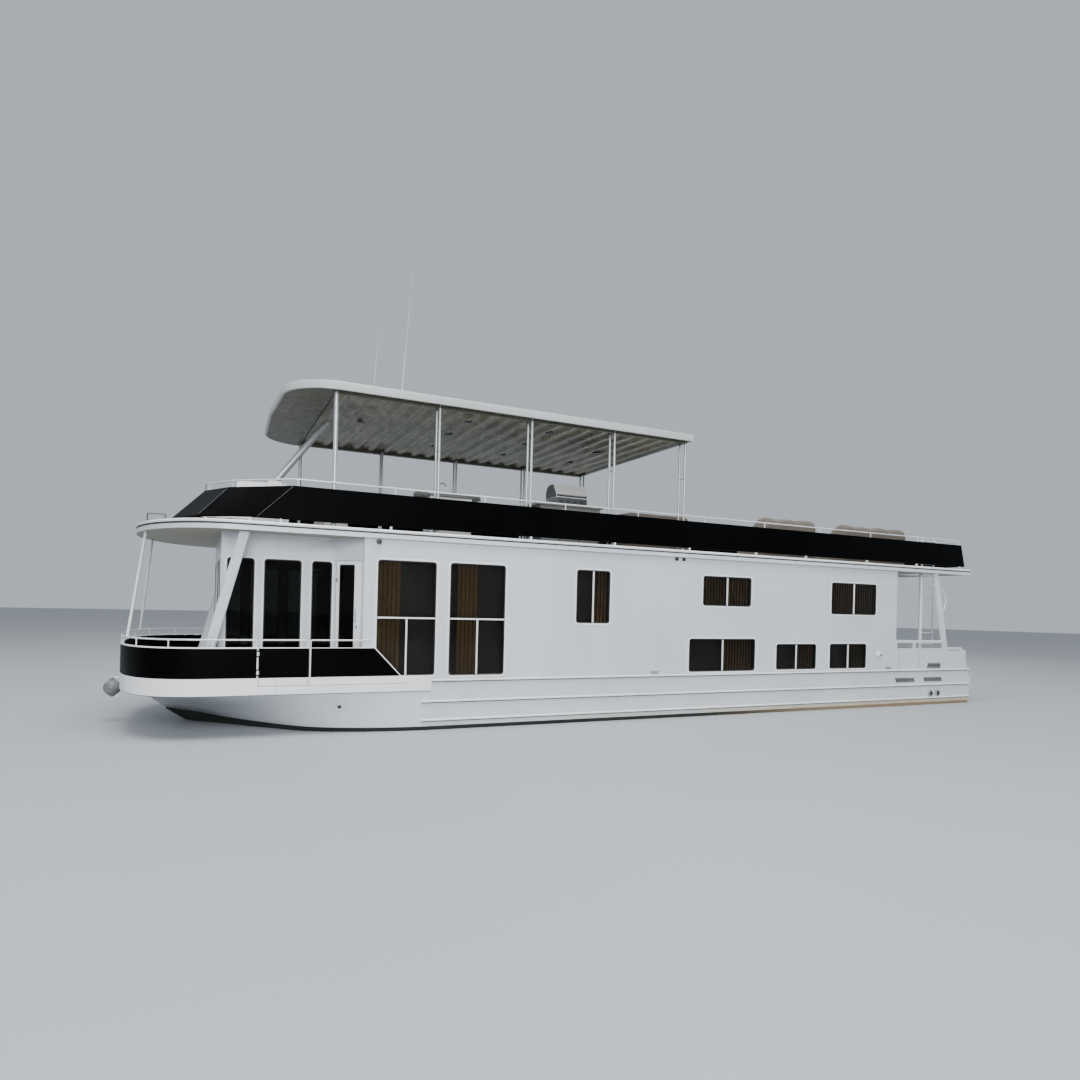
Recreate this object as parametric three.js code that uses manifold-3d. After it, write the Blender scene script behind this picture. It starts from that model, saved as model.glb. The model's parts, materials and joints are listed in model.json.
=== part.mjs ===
// A houseboat afloat: steel hull, full-length cabin with a covered bow porch, upper deck and hardtop.
// Millimetres. +X to the bow, +Y to port, +Z up.
// The origin is on the waterline, on the centreline, amidships.

import * as THREE from 'three';
import { mergeVertices } from 'three/addons/utils/BufferGeometryUtils.js';
import Module from 'manifold-3d';

const wasm = await Module();
wasm.setup();

// Driving dimensions
const gap = 0.3;              // between pieces that rest on each other
const running = 8;            // between a moving piece and what it passes
const halfBeam = 2440;        // to the outer face of bulwarks, strakes and roof edge
const hullY = 2420;           // outer face of the hull plating
const wallY = 2390;           // outer face of the cabin walls
const wallThick = 60;
const porchY = 1840;          // outer face of the walls beside the side decks
const porchThick = 50;

const level = {
  fasciaUnder: 700,           // underside of the overhanging bow deck
  deck: 900,
  toeRail: 970,
  bulwarkTop: 1450,
  bowRail: 1580,
  coamingTop: 1420,
  aftRail: 1600,
  roofUnder: 3330,
  roofTop: 3480,
  panelUnder: 3540,           // lower edge of the upper bulwark panels
  panelTop: 4100,
  upperRail: 4210,
  canopyUnder: 5740,
  canopyTop: 5890,
};

const stations = {
  transom: -9730,
  hullTop: -9850,             // the transom rakes aft up to here
  aftWall: -7010,
  cabinFront: 6040,
  porchFront: 8250,
  strakeFront: 5000,
  fasciaAft: 4820,
  canopyAft: -670,
  canopyFront: 7420,
};

const deckPlan = { centre: 8200, reach: 1560, half: halfBeam, power: 2.9 };
const roofPlan = { centre: 8070, reach: 1510, half: halfBeam, power: 2 };
const flarePlan = { centre: 7900, reach: 1870, half: halfBeam, power: 2 };

// Finishes
function finish(color, roughness, metalness = 0) {
  return new THREE.MeshStandardMaterial({ color, roughness, metalness });
}

const whitePaint = finish(0xdfe4ea, 0.35);
const blackPaint = finish(0x0c0d10, 0.45);
const bottomPaint = finish(0x14161a, 0.6);
const canopyGrey = finish(0xc9ccc8, 0.5);
const tintedGlass = finish(0x1c2022, 0.08);
const railTube = finish(0xe6e8ea, 0.3, 0.2);
const stainless = finish(0xa9adb0, 0.25, 1);
const bronze = finish(0x8c6a3f, 0.35, 1);
const counterGrey = finish(0x9a9a94, 0.4);
const tanCover = finish(0xa9978a, 0.85);
const seatVinyl = finish(0xd8d3c8, 0.6);
const enginePaint = finish(0x5c6468, 0.5, 0.3);
const fenderRubber = finish(0x8f9294, 0.6);

// Solids from three.js geometry
function signedVolume(geometry) {
  const p = geometry.attributes.position;
  const corner = [new THREE.Vector3(), new THREE.Vector3(), new THREE.Vector3()];
  let volume = 0;
  for (let i = 0; i < geometry.index.count; i += 3) {
    corner.forEach((c, k) => c.fromBufferAttribute(p, geometry.index.getX(i + k)));
    volume += corner[0].dot(corner[1].clone().cross(corner[2])) / 6;
  }
  return volume;
}

function solidFrom(geometry) {
  const bare = geometry.clone();
  bare.deleteAttribute('normal');
  bare.deleteAttribute('uv');
  const merged = mergeVertices(bare, 1e-3);
  const triVerts = new Uint32Array(merged.index.array);
  if (signedVolume(merged) < 0) {
    for (let i = 0; i < triVerts.length; i += 3) {
      [triVerts[i], triVerts[i + 1]] = [triVerts[i + 1], triVerts[i]];
    }
  }
  const vertProperties = new Float32Array(merged.attributes.position.array);
  return new wasm.Manifold(new wasm.Mesh({ numProp: 3, vertProperties, triVerts }));
}

function geometryFrom(solid) {
  const { vertProperties, triVerts } = solid.getMesh();
  const geometry = new THREE.BufferGeometry();
  geometry.setAttribute('position', new THREE.BufferAttribute(vertProperties, 3));
  geometry.setIndex(new THREE.BufferAttribute(triVerts, 1));
  geometry.computeVertexNormals();
  return geometry;
}

function joined(solids) {
  return solids.reduce((sum, next) => sum.add(next));
}

function without(solid, cuts) {
  return cuts.reduce((rest, cut) => rest.subtract(cut), solid);
}

function moved(solid, matrix) {
  return solidFrom(geometryFrom(solid).applyMatrix4(matrix));
}

// The same solid on the other side of the centreline
function mirrored(solid) {
  return moved(solid, new THREE.Matrix4().makeScale(1, -1, 1));
}

function box(x0, x1, y0, y1, z0, z1) {
  const geometry = new THREE.BoxGeometry(x1 - x0, y1 - y0, z1 - z0);
  return solidFrom(geometry.translate((x0 + x1) / 2, (y0 + y1) / 2, (z0 + z1) / 2));
}

function shapeOf(points) {
  return new THREE.Shape(points.map(([u, v]) => new THREE.Vector2(u, v)));
}

function extruded(shape, depth, curveSegments = 2) {
  return new THREE.ExtrudeGeometry(shape, { depth, bevelEnabled: false, curveSegments });
}

// A plan outline in X and Y, raised from z0 to z1
function slab(shape, z0, z1) {
  return solidFrom(extruded(shape, z1 - z0).translate(0, 0, z0));
}

// A side outline in X and Z, carried across from y0 to y1
function across(shape, y0, y1) {
  return solidFrom(extruded(shape, y1 - y0).rotateX(Math.PI / 2).translate(0, y1, 0));
}

// Turns local X, Y and Z to port, up and forward
const lengthwise = new THREE.Matrix4().makeBasis(
  new THREE.Vector3(0, 1, 0), new THREE.Vector3(0, 0, 1), new THREE.Vector3(1, 0, 0));

// A section outline in Y and Z, carried along from x0 to x1
function along(shape, x0, x1) {
  return solidFrom(extruded(shape, x1 - x0).applyMatrix4(lengthwise).translate(x0, 0, 0));
}

// A frame on an upright face: local X along the face, local Y out of it, local Z up
function onFace(x, y, degrees) {
  const turn = THREE.MathUtils.degToRad(degrees);
  const out = new THREE.Vector3(Math.cos(turn), Math.sin(turn), 0);
  const up = new THREE.Vector3(0, 0, 1);
  return new THREE.Matrix4().makeBasis(out.clone().cross(up), out, up).setPosition(x, y, 0);
}

function roundedRect(u0, u1, v0, v1, radius) {
  const shape = new THREE.Shape();
  shape.moveTo(u0 + radius, v0);
  shape.lineTo(u1 - radius, v0);
  shape.absarc(u1 - radius, v0 + radius, radius, -Math.PI / 2, 0, false);
  shape.lineTo(u1, v1 - radius);
  shape.absarc(u1 - radius, v1 - radius, radius, 0, Math.PI / 2, false);
  shape.lineTo(u0 + radius, v1);
  shape.absarc(u0 + radius, v1 - radius, radius, Math.PI / 2, Math.PI, false);
  shape.lineTo(u0, v0 + radius);
  shape.absarc(u0 + radius, v0 + radius, radius, Math.PI, 1.5 * Math.PI, false);
  return shape;
}

// A straight round bar between two points
function rod(from, to, radius, sides = 8) {
  const a = new THREE.Vector3(...from);
  const b = new THREE.Vector3(...to);
  const geometry = new THREE.CylinderGeometry(radius, radius, a.distanceTo(b), sides);
  const lean = new THREE.Quaternion().setFromUnitVectors(
    new THREE.Vector3(0, 1, 0), b.clone().sub(a).normalize());
  geometry.applyQuaternion(lean).translate(...a.clone().add(b).multiplyScalar(0.5).toArray());
  return solidFrom(geometry);
}

// A tube of straight runs, mitred where they meet
function tube(points, radius, sides = 6) {
  const at = points.map((point) => new THREE.Vector3(...point));
  const runs = at.slice(1).map((point, i) => point.clone().sub(at[i]).normalize());
  const [first] = runs;
  const side = new THREE.Vector3(first.z, 0, -first.x);
  if (side.length() < 0.01) {
    side.set(1, 0, 0);
  }
  side.normalize();
  const other = first.clone().cross(side);
  let ring = Array.from({ length: sides }, (unused, i) => {
    const turn = (2 * Math.PI * i) / sides;
    return at[0].clone().addScaledVector(side, radius * Math.cos(turn))
      .addScaledVector(other, radius * Math.sin(turn));
  });
  const rings = [ring];
  runs.forEach((run, i) => {
    const mitre = run.clone().add(runs[i + 1] ?? run).normalize();
    ring = ring.map((corner) => {
      const far = at[i + 1].clone().sub(corner).dot(mitre) / run.dot(mitre);
      return corner.clone().addScaledVector(run, far);
    });
    rings.push(ring);
  });
  return loft(rings.map((corners) => corners.map((corner) => corner.toArray())));
}

// A hinge on an upright axis just off a face: the leaf carries the middle barrel, the frame the outer two
const hingeOffset = 14;

function hinge(x, face, z, leafSide) {
  const radius = 8;
  const reach = 45;
  const y = face + hingeOffset;
  const strap = (side, low, high) =>
    box(Math.min(x, x + side * reach), Math.max(x, x + side * reach), face - 6, y + 3, low, high);
  const leaf = rod([x, y, z - 30], [x, y, z + 30], radius, 6).add(strap(leafSide, z - 26, z + 26));
  const frame = [[z + 30 + gap, z + 56], [z - 56, z - 30 - gap]].map(([low, high]) =>
    rod([x, y, low], [x, y, high], radius, 6).add(strap(-leafSide, low + 4, high - 4)));
  return { leaf, frame: joined(frame) };
}

// A closed body through rings of points, each ring with the same count and convex
function loft(rings) {
  const count = rings[0].length;
  const index = [];
  for (let r = 0; r < rings.length - 1; r += 1) {
    for (let i = 0; i < count; i += 1) {
      const a = r * count + i;
      const b = r * count + ((i + 1) % count);
      index.push(a, b, b + count, a, b + count, a + count);
    }
  }
  const last = (rings.length - 1) * count;
  for (let i = 1; i < count - 1; i += 1) {
    index.push(0, i + 1, i, last, last + i, last + i + 1);
  }
  const geometry = new THREE.BufferGeometry();
  geometry.setAttribute('position', new THREE.Float32BufferAttribute(rings.flat(2), 3));
  geometry.setIndex(index);
  return solidFrom(geometry);
}

// Straight sides and a bowed front, from x0 forward, set in by an even margin; power 2 is an ellipse
function bowedOutline({ centre, reach, half, power }, x0, margin, steps = 24) {
  const points = [[x0, -(half - margin)]];
  const eased = (value) => Math.sign(value) * Math.abs(value) ** (2 / power);
  for (let i = 0; i <= steps; i += 1) {
    const turn = -Math.PI / 2 + (Math.PI * i) / steps;
    const side = i === 0 || i === steps ? 0 : eased(Math.cos(turn));
    points.push([centre + (reach - margin) * side, (half - margin) * eased(Math.sin(turn))]);
  }
  points.push([x0, half - margin]);
  return points;
}

function halfWidth({ centre, reach, half, power }, x) {
  const along = Math.max(0, x - centre) / reach;
  return half * Math.max(0, 1 - along ** power) ** (1 / power);
}

function frontAt({ centre, reach, half, power }, y, margin) {
  return centre + (reach - margin) * (1 - (y / (half - margin)) ** power) ** (1 / power);
}

// Rows of a table with two more between each pair from x0 forward, on a smooth curve
function fairedRows(rows, x0) {
  return rows.flatMap((row, i) => {
    const next = rows[i + 1];
    if (!next || row[0] < x0) {
      return [row];
    }
    const before = rows[i - 1];
    const after = rows[i + 2] ?? next;
    const between = [1 / 3, 2 / 3].map((t) => row.map((value, k) => {
      const span = next[0] - row[0];
      const leave = ((next[k] - before[k]) / (next[0] - before[0])) * span;
      const arrive = ((after[k] - value) / (after[0] - row[0])) * span;
      return value * (2 * t ** 3 - 3 * t ** 2 + 1) + leave * (t ** 3 - 2 * t ** 2 + t)
        + next[k] * (3 * t ** 2 - 2 * t ** 3) + arrive * (t ** 3 - t ** 2);
    }));
    return [row, ...between];
  });
}

// Hull
const bilge = fairedRows([
  // x, keel z, chine y, chine z, boot-top y, boot-top z
  [-9730, -430, 2330, -300, 2420, 70],
  [-7000, -520, 2330, -330, 2420, 70],
  [3500, -520, 2320, -330, 2420, 70],
  [5000, -520, 2290, -320, 2420, 70],
  [6000, -510, 2040, -300, 2280, 75],
  [6870, -470, 1620, -270, 1950, 85],
  [7600, -390, 1000, -220, 1300, 110],
  [8170, -260, 500, -130, 730, 145],
  [8600, -80, 210, 20, 350, 195],
  [9060, 215, 12, 225, 20, 240],
], 5000);

const stem = [
  // x, stem z, forward of the boot-top
  [9250, 380],
  [9450, 540],
  [9620, 690],
];

const engineWell = { x0: -9000, x1: -7200, y0: 150, y1: 1650, z0: -250 };
const hatch = { ledge: 50, thick: 50 };
const hatchHinges = [-8700, -7500].map((x) => {
  const side = engineWell.y1 + hatch.ledge - running / 2;
  return hinge(side, level.deck, x, -1);
});
const shaftSide = 950;
const propeller = { x: -8900, z: -760, radius: 240, hub: 60 };
const shaft = { slope: Math.tan(THREE.MathUtils.degToRad(9)), front: -7300, radius: 24 };
const rudder = { x: -9380, top: -470, bottom: -1000, fore: 140, aft: 200, stock: 30, seat: -415 };

function shaftPoint(x, side) {
  return [x, side * shaftSide, propeller.z + (x - propeller.x) * shaft.slope];
}

function engineWells() {
  const { x0, x1, y0, y1, z0 } = engineWell;
  return [-1, 1].map((side) => {
    const [low, high] = side > 0 ? [y0, y1] : [-y1, -y0];
    return box(x0, x1, low, high, z0, level.deck + 10);
  });
}

function hullBottom() {
  const rings = bilge.map(([x, keel, chineY, chineZ, bootY, bootZ]) => [
    [x, 0, keel], [x, chineY, chineZ], [x, bootY, bootZ],
    [x, -bootY, bootZ], [x, -chineY, chineZ],
  ]);
  const keelBar = box(-8700, 4200, -25, 25, -700, -400);
  const gear = [-1, 1].flatMap((side) => {
    const [, y] = shaftPoint(0, side);
    const tube = rod(shaftPoint(shaft.front, side), shaftPoint(-6300, side), 55);
    const strutAt = shaftPoint(-8620, side);
    const ring = rod(shaftPoint(-8680, side), shaftPoint(-8560, side), 52, 12);
    const bore = rod(shaftPoint(-8700, side), shaftPoint(-8540, side), shaft.radius + running, 12);
    const leg = box(-8660, -8580, y - 12, y + 12, strutAt[2] + 35, -380);
    const boss = rod([rudder.x, y, rudder.seat], [rudder.x, y, -350], 70, 12);
    return [tube, ring.add(leg).subtract(bore), boss];
  });
  return without(joined([loft(rings), keelBar, ...gear]), engineWells());
}

function hullTopsides() {
  const deckRim = 25;
  const flare = 0.32;
  const ring = (x, xTop, lowY, lowZ, topY, topZ) => {
    const bend = x > stations.strakeFront ? flare : 0;
    const port = [0, 0.25, 0.5, 0.75, 1].map((t) => [
      x + (xTop - x) * t,
      lowY + (topY - lowY) * (t - bend * t * (1 - t)),
      lowZ + (topZ - lowZ) * t,
    ]);
    return [...port, ...port.toReversed().map(([px, py, pz]) => [px, -py, pz])];
  };
  const topY = (x) => Math.min(hullY, halfWidth(flarePlan, x) - deckRim);
  const bow = bilge.filter(([x]) => x >= stations.strakeFront);
  const foreRings = [
    ring(stations.fasciaAft, stations.fasciaAft, hullY, 70 + gap, hullY, level.fasciaUnder - gap),
    ...bow.map(([x, , , , bootY, bootZ]) =>
      ring(x, x, bootY, bootZ + gap, topY(x), level.fasciaUnder - gap)),
    ...stem.map(([x, z]) => ring(x, x, 20, z, topY(x), level.fasciaUnder - gap)),
  ];
  const { transom, hullTop, fasciaAft } = stations;
  const aftRings = [
    ring(transom, hullTop, hullY, 70 + gap, hullY, level.deck),
    ring(fasciaAft, fasciaAft, hullY, 70 + gap, hullY, level.deck),
  ];
  const strakes = [[180, stations.strakeFront], [510, stations.strakeFront], [880, fasciaAft]].flatMap(
    ([z, front]) => [-1, 1].map((side) => {
      const [y0, y1] = side > 0 ? [hullY - 40, halfBeam] : [-halfBeam, -hullY + 40];
      return box(transom - 20, front, y0, y1, z - 20, z + 20);
    }));
  const sternStep = box(hullTop - 50, transom, -halfBeam - 10, halfBeam + 10, 720, 1000);
  const { x0, x1, y1 } = engineWell;
  const rebate = box(x0 - hatch.ledge, x1 + hatch.ledge, -y1 - hatch.ledge, y1 + hatch.ledge,
    level.deck - hatch.thick, level.deck + 10);
  const hull = without(joined([loft(foreRings), loft(aftRings), ...strakes]),
    [sternStep, ...engineWells(), rebate]);
  const hinges = hatchHinges.map(({ frame }) => moved(frame, lengthwise));
  return joined([hull, ...hinges, ...hinges.map(mirrored)]);
}

const gate = { x0: 6910, x1: 7680, z0: 840, thick: 40 };
const treads = [
  // Raised plates on the deck, inside each gate and ahead of the porch
  { x0: 7000, x1: 7600, y0: 2080, y1: 2320 },
  { x0: 7000, x1: 7600, y0: -2320, y1: -2080 },
  { x0: 9050, x1: 9350, y0: -150, y1: 150 },
];
const treadHeight = 6;
const gateHinges = [1060, 1360].map((z) => hinge(gate.x1 + running / 2, halfBeam, z, -1));

function bowDeck() {
  const { fasciaAft } = stations;
  const plate = slab(shapeOf(bowedOutline(deckPlan, fasciaAft + gap, 0)), level.fasciaUnder, level.deck);
  const lip = slab(shapeOf(bowedOutline(deckPlan, fasciaAft + gap, 0)), level.deck - 10, level.toeRail)
    .subtract(slab(
      shapeOf(bowedOutline(deckPlan, fasciaAft - 100, 45)), level.deck - 20, level.toeRail + 10));
  const gateSlots = [-1, 1].map((side) => {
    const y0 = side > 0 ? halfBeam - gate.thick - running : -halfBeam - 20;
    return box(gate.x0 - running, gate.x1 + running, y0, y0 + gate.thick + running + 20,
      gate.z0 - running, level.toeRail + 20);
  });
  const raised = treads.map(({ x0, x1, y0, y1 }) =>
    box(x0, x1, y0, y1, level.deck - 10, level.deck + treadHeight));
  return joined([without(plate.add(lip), gateSlots), ...raised]);
}

// The bulwark round the bow, from gate to gate, with the gates' hinges
function bulwarkBow() {
  const x0 = gate.x1 + running;
  const [z0, z1] = [level.toeRail + gap, level.bulwarkTop];
  const outer = slab(shapeOf(bowedOutline(deckPlan, x0, 0)), z0, z1);
  const inner = slab(shapeOf(bowedOutline(deckPlan, x0 - 100, gate.thick)), z0 - 10, z1 + 10);
  const hinges = gateHinges.flatMap(({ frame }) => [frame, mirrored(frame)]);
  return joined([outer.subtract(inner), ...hinges]);
}

function bulwarkSide() {
  const aftEnd = { top: 5830, bottom: 5370 };
  const panel = across(shapeOf([
    [aftEnd.bottom, level.toeRail + gap], [gate.x0 - running, level.toeRail + gap],
    [gate.x0 - running, level.bulwarkTop], [aftEnd.top, level.bulwarkTop],
  ]), halfBeam - gate.thick, halfBeam);
  return panel.add(hoop(6240, gate.x0 - 25));
}

// A length of tube rail with its two ends turned down into the panel below it
function hoop(x0, x1) {
  const y = halfBeam - gate.thick / 2;
  const foot = level.bulwarkTop - 20;
  return tube([[x0, y, foot], [x0, y, level.bowRail], [x1, y, level.bowRail], [x1, y, foot]], 15);
}

function gatePort() {
  const panel = box(gate.x0, gate.x1, halfBeam - gate.thick, halfBeam, gate.z0, level.bulwarkTop);
  return joined([panel, hoop(gate.x0 + 30, gate.x1 - 30), ...gateHinges.map(({ leaf }) => leaf)]);
}

const bowPost = { footY: 1530, headY: 990 };

function bowRail() {
  const inset = gate.thick / 2;
  const path = bowedOutline(deckPlan, gate.x1 + 36, inset, 20);
  const top = tube(path.map(([x, y]) => [x, y, level.bowRail]), 15);
  const feet = path.filter((point, i) => i % 4 === 1 || i === 0 || i === path.length - 1);
  const posts = feet.map(([x, y]) => rod([x, y, level.bulwarkTop + gap], [x, y, level.bowRail], 12, 6));
  const leaning = [-1, 1].map((side) => rod(
    [frontAt(deckPlan, bowPost.footY, inset), side * bowPost.footY, level.bowRail],
    [frontAt(roofPlan, bowPost.headY, 60), side * bowPost.headY, level.roofUnder - gap - 9], 22, 8));
  return joined([top, ...posts, ...leaning]);
}

// Slanted pillar beside the porch, from the deck up to the roof
function porchPillar() {
  const width = 165;
  const foot = { x: 8450, y: 2090 };
  const head = { x: 7840, y: 2270 };
  const ring = ({ x, y }, z) => [
    [x, y - 40, z], [x + width, y - 40, z], [x + width, y + 40, z], [x, y + 40, z],
  ];
  return loft([ring(foot, level.deck + gap), ring(head, level.roofUnder - gap)]);
}

// Cabin
const sideWindows = [
  // x0, x1, z0, z1
  [4755, 5810, 957, 2970],
  [3430, 4510, 950, 2975],
  [1185, 1950, 1920, 2970],
  [-2405, -1085, 2330, 2975],
  [-2550, -755, 930, 1640],
  [-4365, -3150, 942, 1530],
  [-5990, -4780, 941, 1535],
  [-6290, -4800, 2216, 2970],
];
const porchWindows = [
  // x0, x1
  [7730, 8165],
  [6980, 7590],
  [6470, 6820],
];
const porchGlass = { z0: 985, z1: 2920 };
const windowCorner = 60;

function cabinWall() {
  const { aftWall, cabinFront } = stations;
  const wall = box(aftWall, cabinFront, wallY - wallThick, wallY, level.deck + gap, level.roofUnder - gap);
  return without(wall, sideWindows.map(([x0, x1, z0, z1]) =>
    across(roundedRect(x0, x1, z0, z1, windowCorner), wallY - wallThick - 10, wallY + 10)));
}

function sideGlazing() {
  const face = wallY - wallThick - gap;
  const panes = sideWindows.map(([x0, x1, z0, z1]) =>
    box(x0 - 30, x1 + 30, face - 8, face, z0 - 20, z1 + 30));
  const link = (x0, x1, z) => box(x0, x1, face - 8, face, z - 15, z + 15);
  const links = [link(-5000, 5000, 2600), link(-5000, -2300, 1250)];
  const drop = [box(-4890, -4860, face - 8, face, 1240, 2600)];
  return joined([...panes, ...links, ...drop]);
}

// A glazed leaf in its own frame, along local X with its outer face at local Y = 0, and a pull on it
const leafThick = 36;
const paneThick = 8;
const doorHeights = [1250, 2600];

function glazedLeaf({ half, z0, z1, rail }, pullX) {
  const light = roundedRect(-half + rail, half - rail, z0 + rail + 20, z1 - rail, 30);
  const middle = -leafThick / 2;
  const recesses = [
    across(light, middle + paneThick / 2, 10),
    across(light, -leafThick - 10, middle - paneThick / 2),
  ];
  const plate = box(-half, half, -leafThick, 0, z0, z1);
  const pull = tube([[pullX, -2, 1850], [pullX, 45, 1850], [pullX, 45, 2050], [pullX, -2, 2050]], 8);
  return without(plate, recesses).add(pull);
}

// A door set at 45 degrees across the corner between the porch wall and the cabin
const cornerDoor = { x: 6230, y: 2040, reach: 200, half: 250, z0: 930, z1: 2930, rail: 60 };
const cornerFrame = onFace(cornerDoor.x, cornerDoor.y, 45);
const cornerHinges = doorHeights.map((z) => hinge(cornerDoor.half + running / 2, 0, z, -1));

function cornerLeaf() {
  const leaf = glazedLeaf(cornerDoor, 30 - cornerDoor.half);
  return moved(joined([leaf, ...cornerHinges.map((pair) => pair.leaf)]), cornerFrame);
}

function porchWall() {
  const inner = porchThick * Math.tan(Math.PI / 8);
  const { x, y, reach, half, z0, z1 } = cornerDoor;
  const wallInner = wallY - wallThick - gap;
  const plan = shapeOf([
    [stations.porchFront, porchY], [x + reach, y - reach], [x - reach, y + reach], [x - reach, wallInner],
    [x - reach - porchThick, wallInner], [x - reach - porchThick, y + reach - inner],
    [x + reach - inner, y - reach - porchThick], [stations.porchFront, porchY - porchThick],
  ]);
  const windows = porchWindows.map(([a, b]) =>
    across(roundedRect(a, b, porchGlass.z0, porchGlass.z1, windowCorner), porchY - 100, porchY + 50));
  const doorway = moved(
    box(-half - running, half + running, -120, 60, z0 - running, z1 + running), cornerFrame);
  const wall = without(slab(plan, level.deck + gap, level.roofUnder - gap), [...windows, doorway]);
  return joined([wall, ...cornerHinges.map(({ frame }) => moved(frame, cornerFrame))]);
}

// Front bulkhead: a fixed light to port, a sliding door to starboard, side lights outboard
const frontDoor = { y0: -870, y1: -20, z0: 930, z1: 2920 };
const frontLight = [[70, 870], [1020, 1700], [-1700, -1020]];
const bulkheadX = { outer: 8250, inner: 8200 };

function frontBulkhead() {
  const half = porchY - porchThick - gap;
  const wall = box(bulkheadX.inner, bulkheadX.outer, -half, half, level.deck + gap, level.roofUnder - gap);
  const cuts = frontLight.map(([y0, y1]) =>
    along(roundedRect(y0, y1, porchGlass.z0, porchGlass.z1, windowCorner), 8100, 8300));
  const doorway = box(8100, 8300, frontDoor.y0, frontDoor.y1, frontDoor.z0, frontDoor.z1);
  const track = { y0: -1000, y1: 980 };
  const sill = box(8130, bulkheadX.inner + 5, track.y0, track.y1, level.deck + gap, level.deck + 18);
  const lintel = box(8130, bulkheadX.inner + 5, track.y0, track.y1, 2968, 2990);
  return joined([without(wall, [...cuts, doorway]), sill, lintel]);
}

function frontLeaf() {
  const leaf = { x0: 8145, x1: 8185, y0: -940, y1: 30 };
  const z0 = level.deck + 18 + gap;
  const z1 = 2968 - gap;
  const light = roundedRect(leaf.y0 + 130, leaf.y1 - 75, z0 + 110, z1 - 80, 30);
  const middle = (leaf.x0 + leaf.x1) / 2;
  const plate = without(box(leaf.x0, leaf.x1, leaf.y0, leaf.y1, z0, z1), [
    along(light, leaf.x0 - 10, middle - paneThick / 2),
    along(light, middle + paneThick / 2, leaf.x1 + 10),
  ]);
  const pull = box(leaf.x1 - 5, leaf.x1 + 9, -860, -840, 1800, 2050);
  return plate.add(pull);
}

function porchGlazing() {
  const face = porchY - porchThick - gap;
  const sill = porchGlass.z0 - 20;
  const head = porchGlass.z1 + 30;
  const linkTop = head + 90;
  const front = bulkheadX.inner - gap;
  const side = joined([
    ...porchWindows.map(([x0, x1]) =>
      box(x0 - 30, Math.min(x1 + 30, front), face - paneThick, face, sill, head)),
    box(6440, front, face - paneThick, face, head - 10, linkTop),
  ]);
  const panes = [[50, 1720], [-1720, -1000]].map(([y0, y1]) =>
    box(front - paneThick, front, y0, y1, sill, head));
  const link = box(front - paneThick, front, -face, face, linkTop - 40, linkTop);
  const drops = [-1, 1].map((sign) =>
    box(front - paneThick, front, sign * 1120 - 40, sign * 1120 + 40, head - 10, linkTop));
  return joined([side, mirrored(side), ...panes, link, ...drops]);
}

// Aft bulkhead and its hinged door
const aftDoor = { half: 350, z0: 930, z1: 2930, rail: 90 };
const aftFrame = onFace(stations.aftWall, 0, 180);
const aftHinges = doorHeights.map((z) => hinge(aftDoor.half + running / 2, 0, z, -1));

function aftBulkhead() {
  const { aftWall } = stations;
  const { half, z0, z1 } = aftDoor;
  const side = wallY - wallThick - gap;
  const wall = box(aftWall, aftWall + wallThick, -side, side, level.deck + gap, level.roofUnder - gap);
  const doorway = box(
    aftWall - 50, aftWall + 100, -half - running, half + running, z0 - running, z1 + running);
  return joined([wall.subtract(doorway), ...aftHinges.map(({ frame }) => moved(frame, aftFrame))]);
}

function aftLeaf() {
  const leaf = glazedLeaf(aftDoor, 45 - aftDoor.half);
  return moved(joined([leaf, ...aftHinges.map((pair) => pair.leaf)]), aftFrame);
}

// Stern quarter: coaming round the aft deck with its slanted pillar
const quarter = { thick: 50, x0: stations.transom + 20, top: level.coamingTop - 60 };
const transomDoor = { half: 360, z0: level.deck + 15 };
const transomFrame = onFace(quarter.x0 + quarter.thick, 0, 0);
const transomHinges = [1030, 1250].map((z) => hinge(-transomDoor.half - running / 2, 0, z, 1));

function sternQuarter() {
  const y0 = wallY - quarter.thick;
  const { aftWall, transom } = stations;
  const side = across(shapeOf([
    [aftWall - gap, level.deck + gap], [transom - 10, level.deck + gap], [-9560, level.coamingTop - 60],
    [-9500, level.coamingTop], [aftWall - gap, level.coamingTop],
  ]), y0, wallY);
  const slot = (x0, x1, z0, z1) => across(roundedRect(x0, x1, z0, z1, 14), y0 - 10, wallY + 10);
  const rail = box(-8850, aftWall - gap, y0, wallY, level.aftRail - 45, level.aftRail);
  const posts = [[-7060, aftWall - gap], [-7720, -7640], [-8850, -8780]].map(([a, b]) =>
    box(a, b, y0, wallY, level.coamingTop - 5, level.aftRail - 5));
  const pillar = across(shapeOf([
    [-8935, level.coamingTop - 20], [-8760, level.coamingTop - 20],
    [-8340, level.roofUnder - gap], [-8510, level.roofUnder - gap],
  ]), y0, wallY);
  const aftPanel = box(quarter.x0, quarter.x0 + quarter.thick, transomDoor.half + running, y0 + 10,
    level.deck + gap, quarter.top);
  return joined([side.subtract(slot(-9440, -8930, 1350, 1385)), rail, ...posts, pillar, aftPanel]);
}

function sternQuarterPort() {
  return joined([sternQuarter(), ...transomHinges.map(({ frame }) => moved(frame, transomFrame))]);
}

function transomGate() {
  const { half, z0 } = transomDoor;
  const plate = box(-half, half, -quarter.thick, 0, z0, quarter.top);
  return moved(joined([plate, ...transomHinges.map(({ leaf }) => leaf)]), transomFrame);
}

// Ladder from the aft deck to the upper deck
const ladder = { x0: -9060, x1: -8600, y: 1850, radius: 22 };
const ladderHatch = { x0: -9200, x1: -8450, y0: 1150, y1: 2000 };

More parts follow.
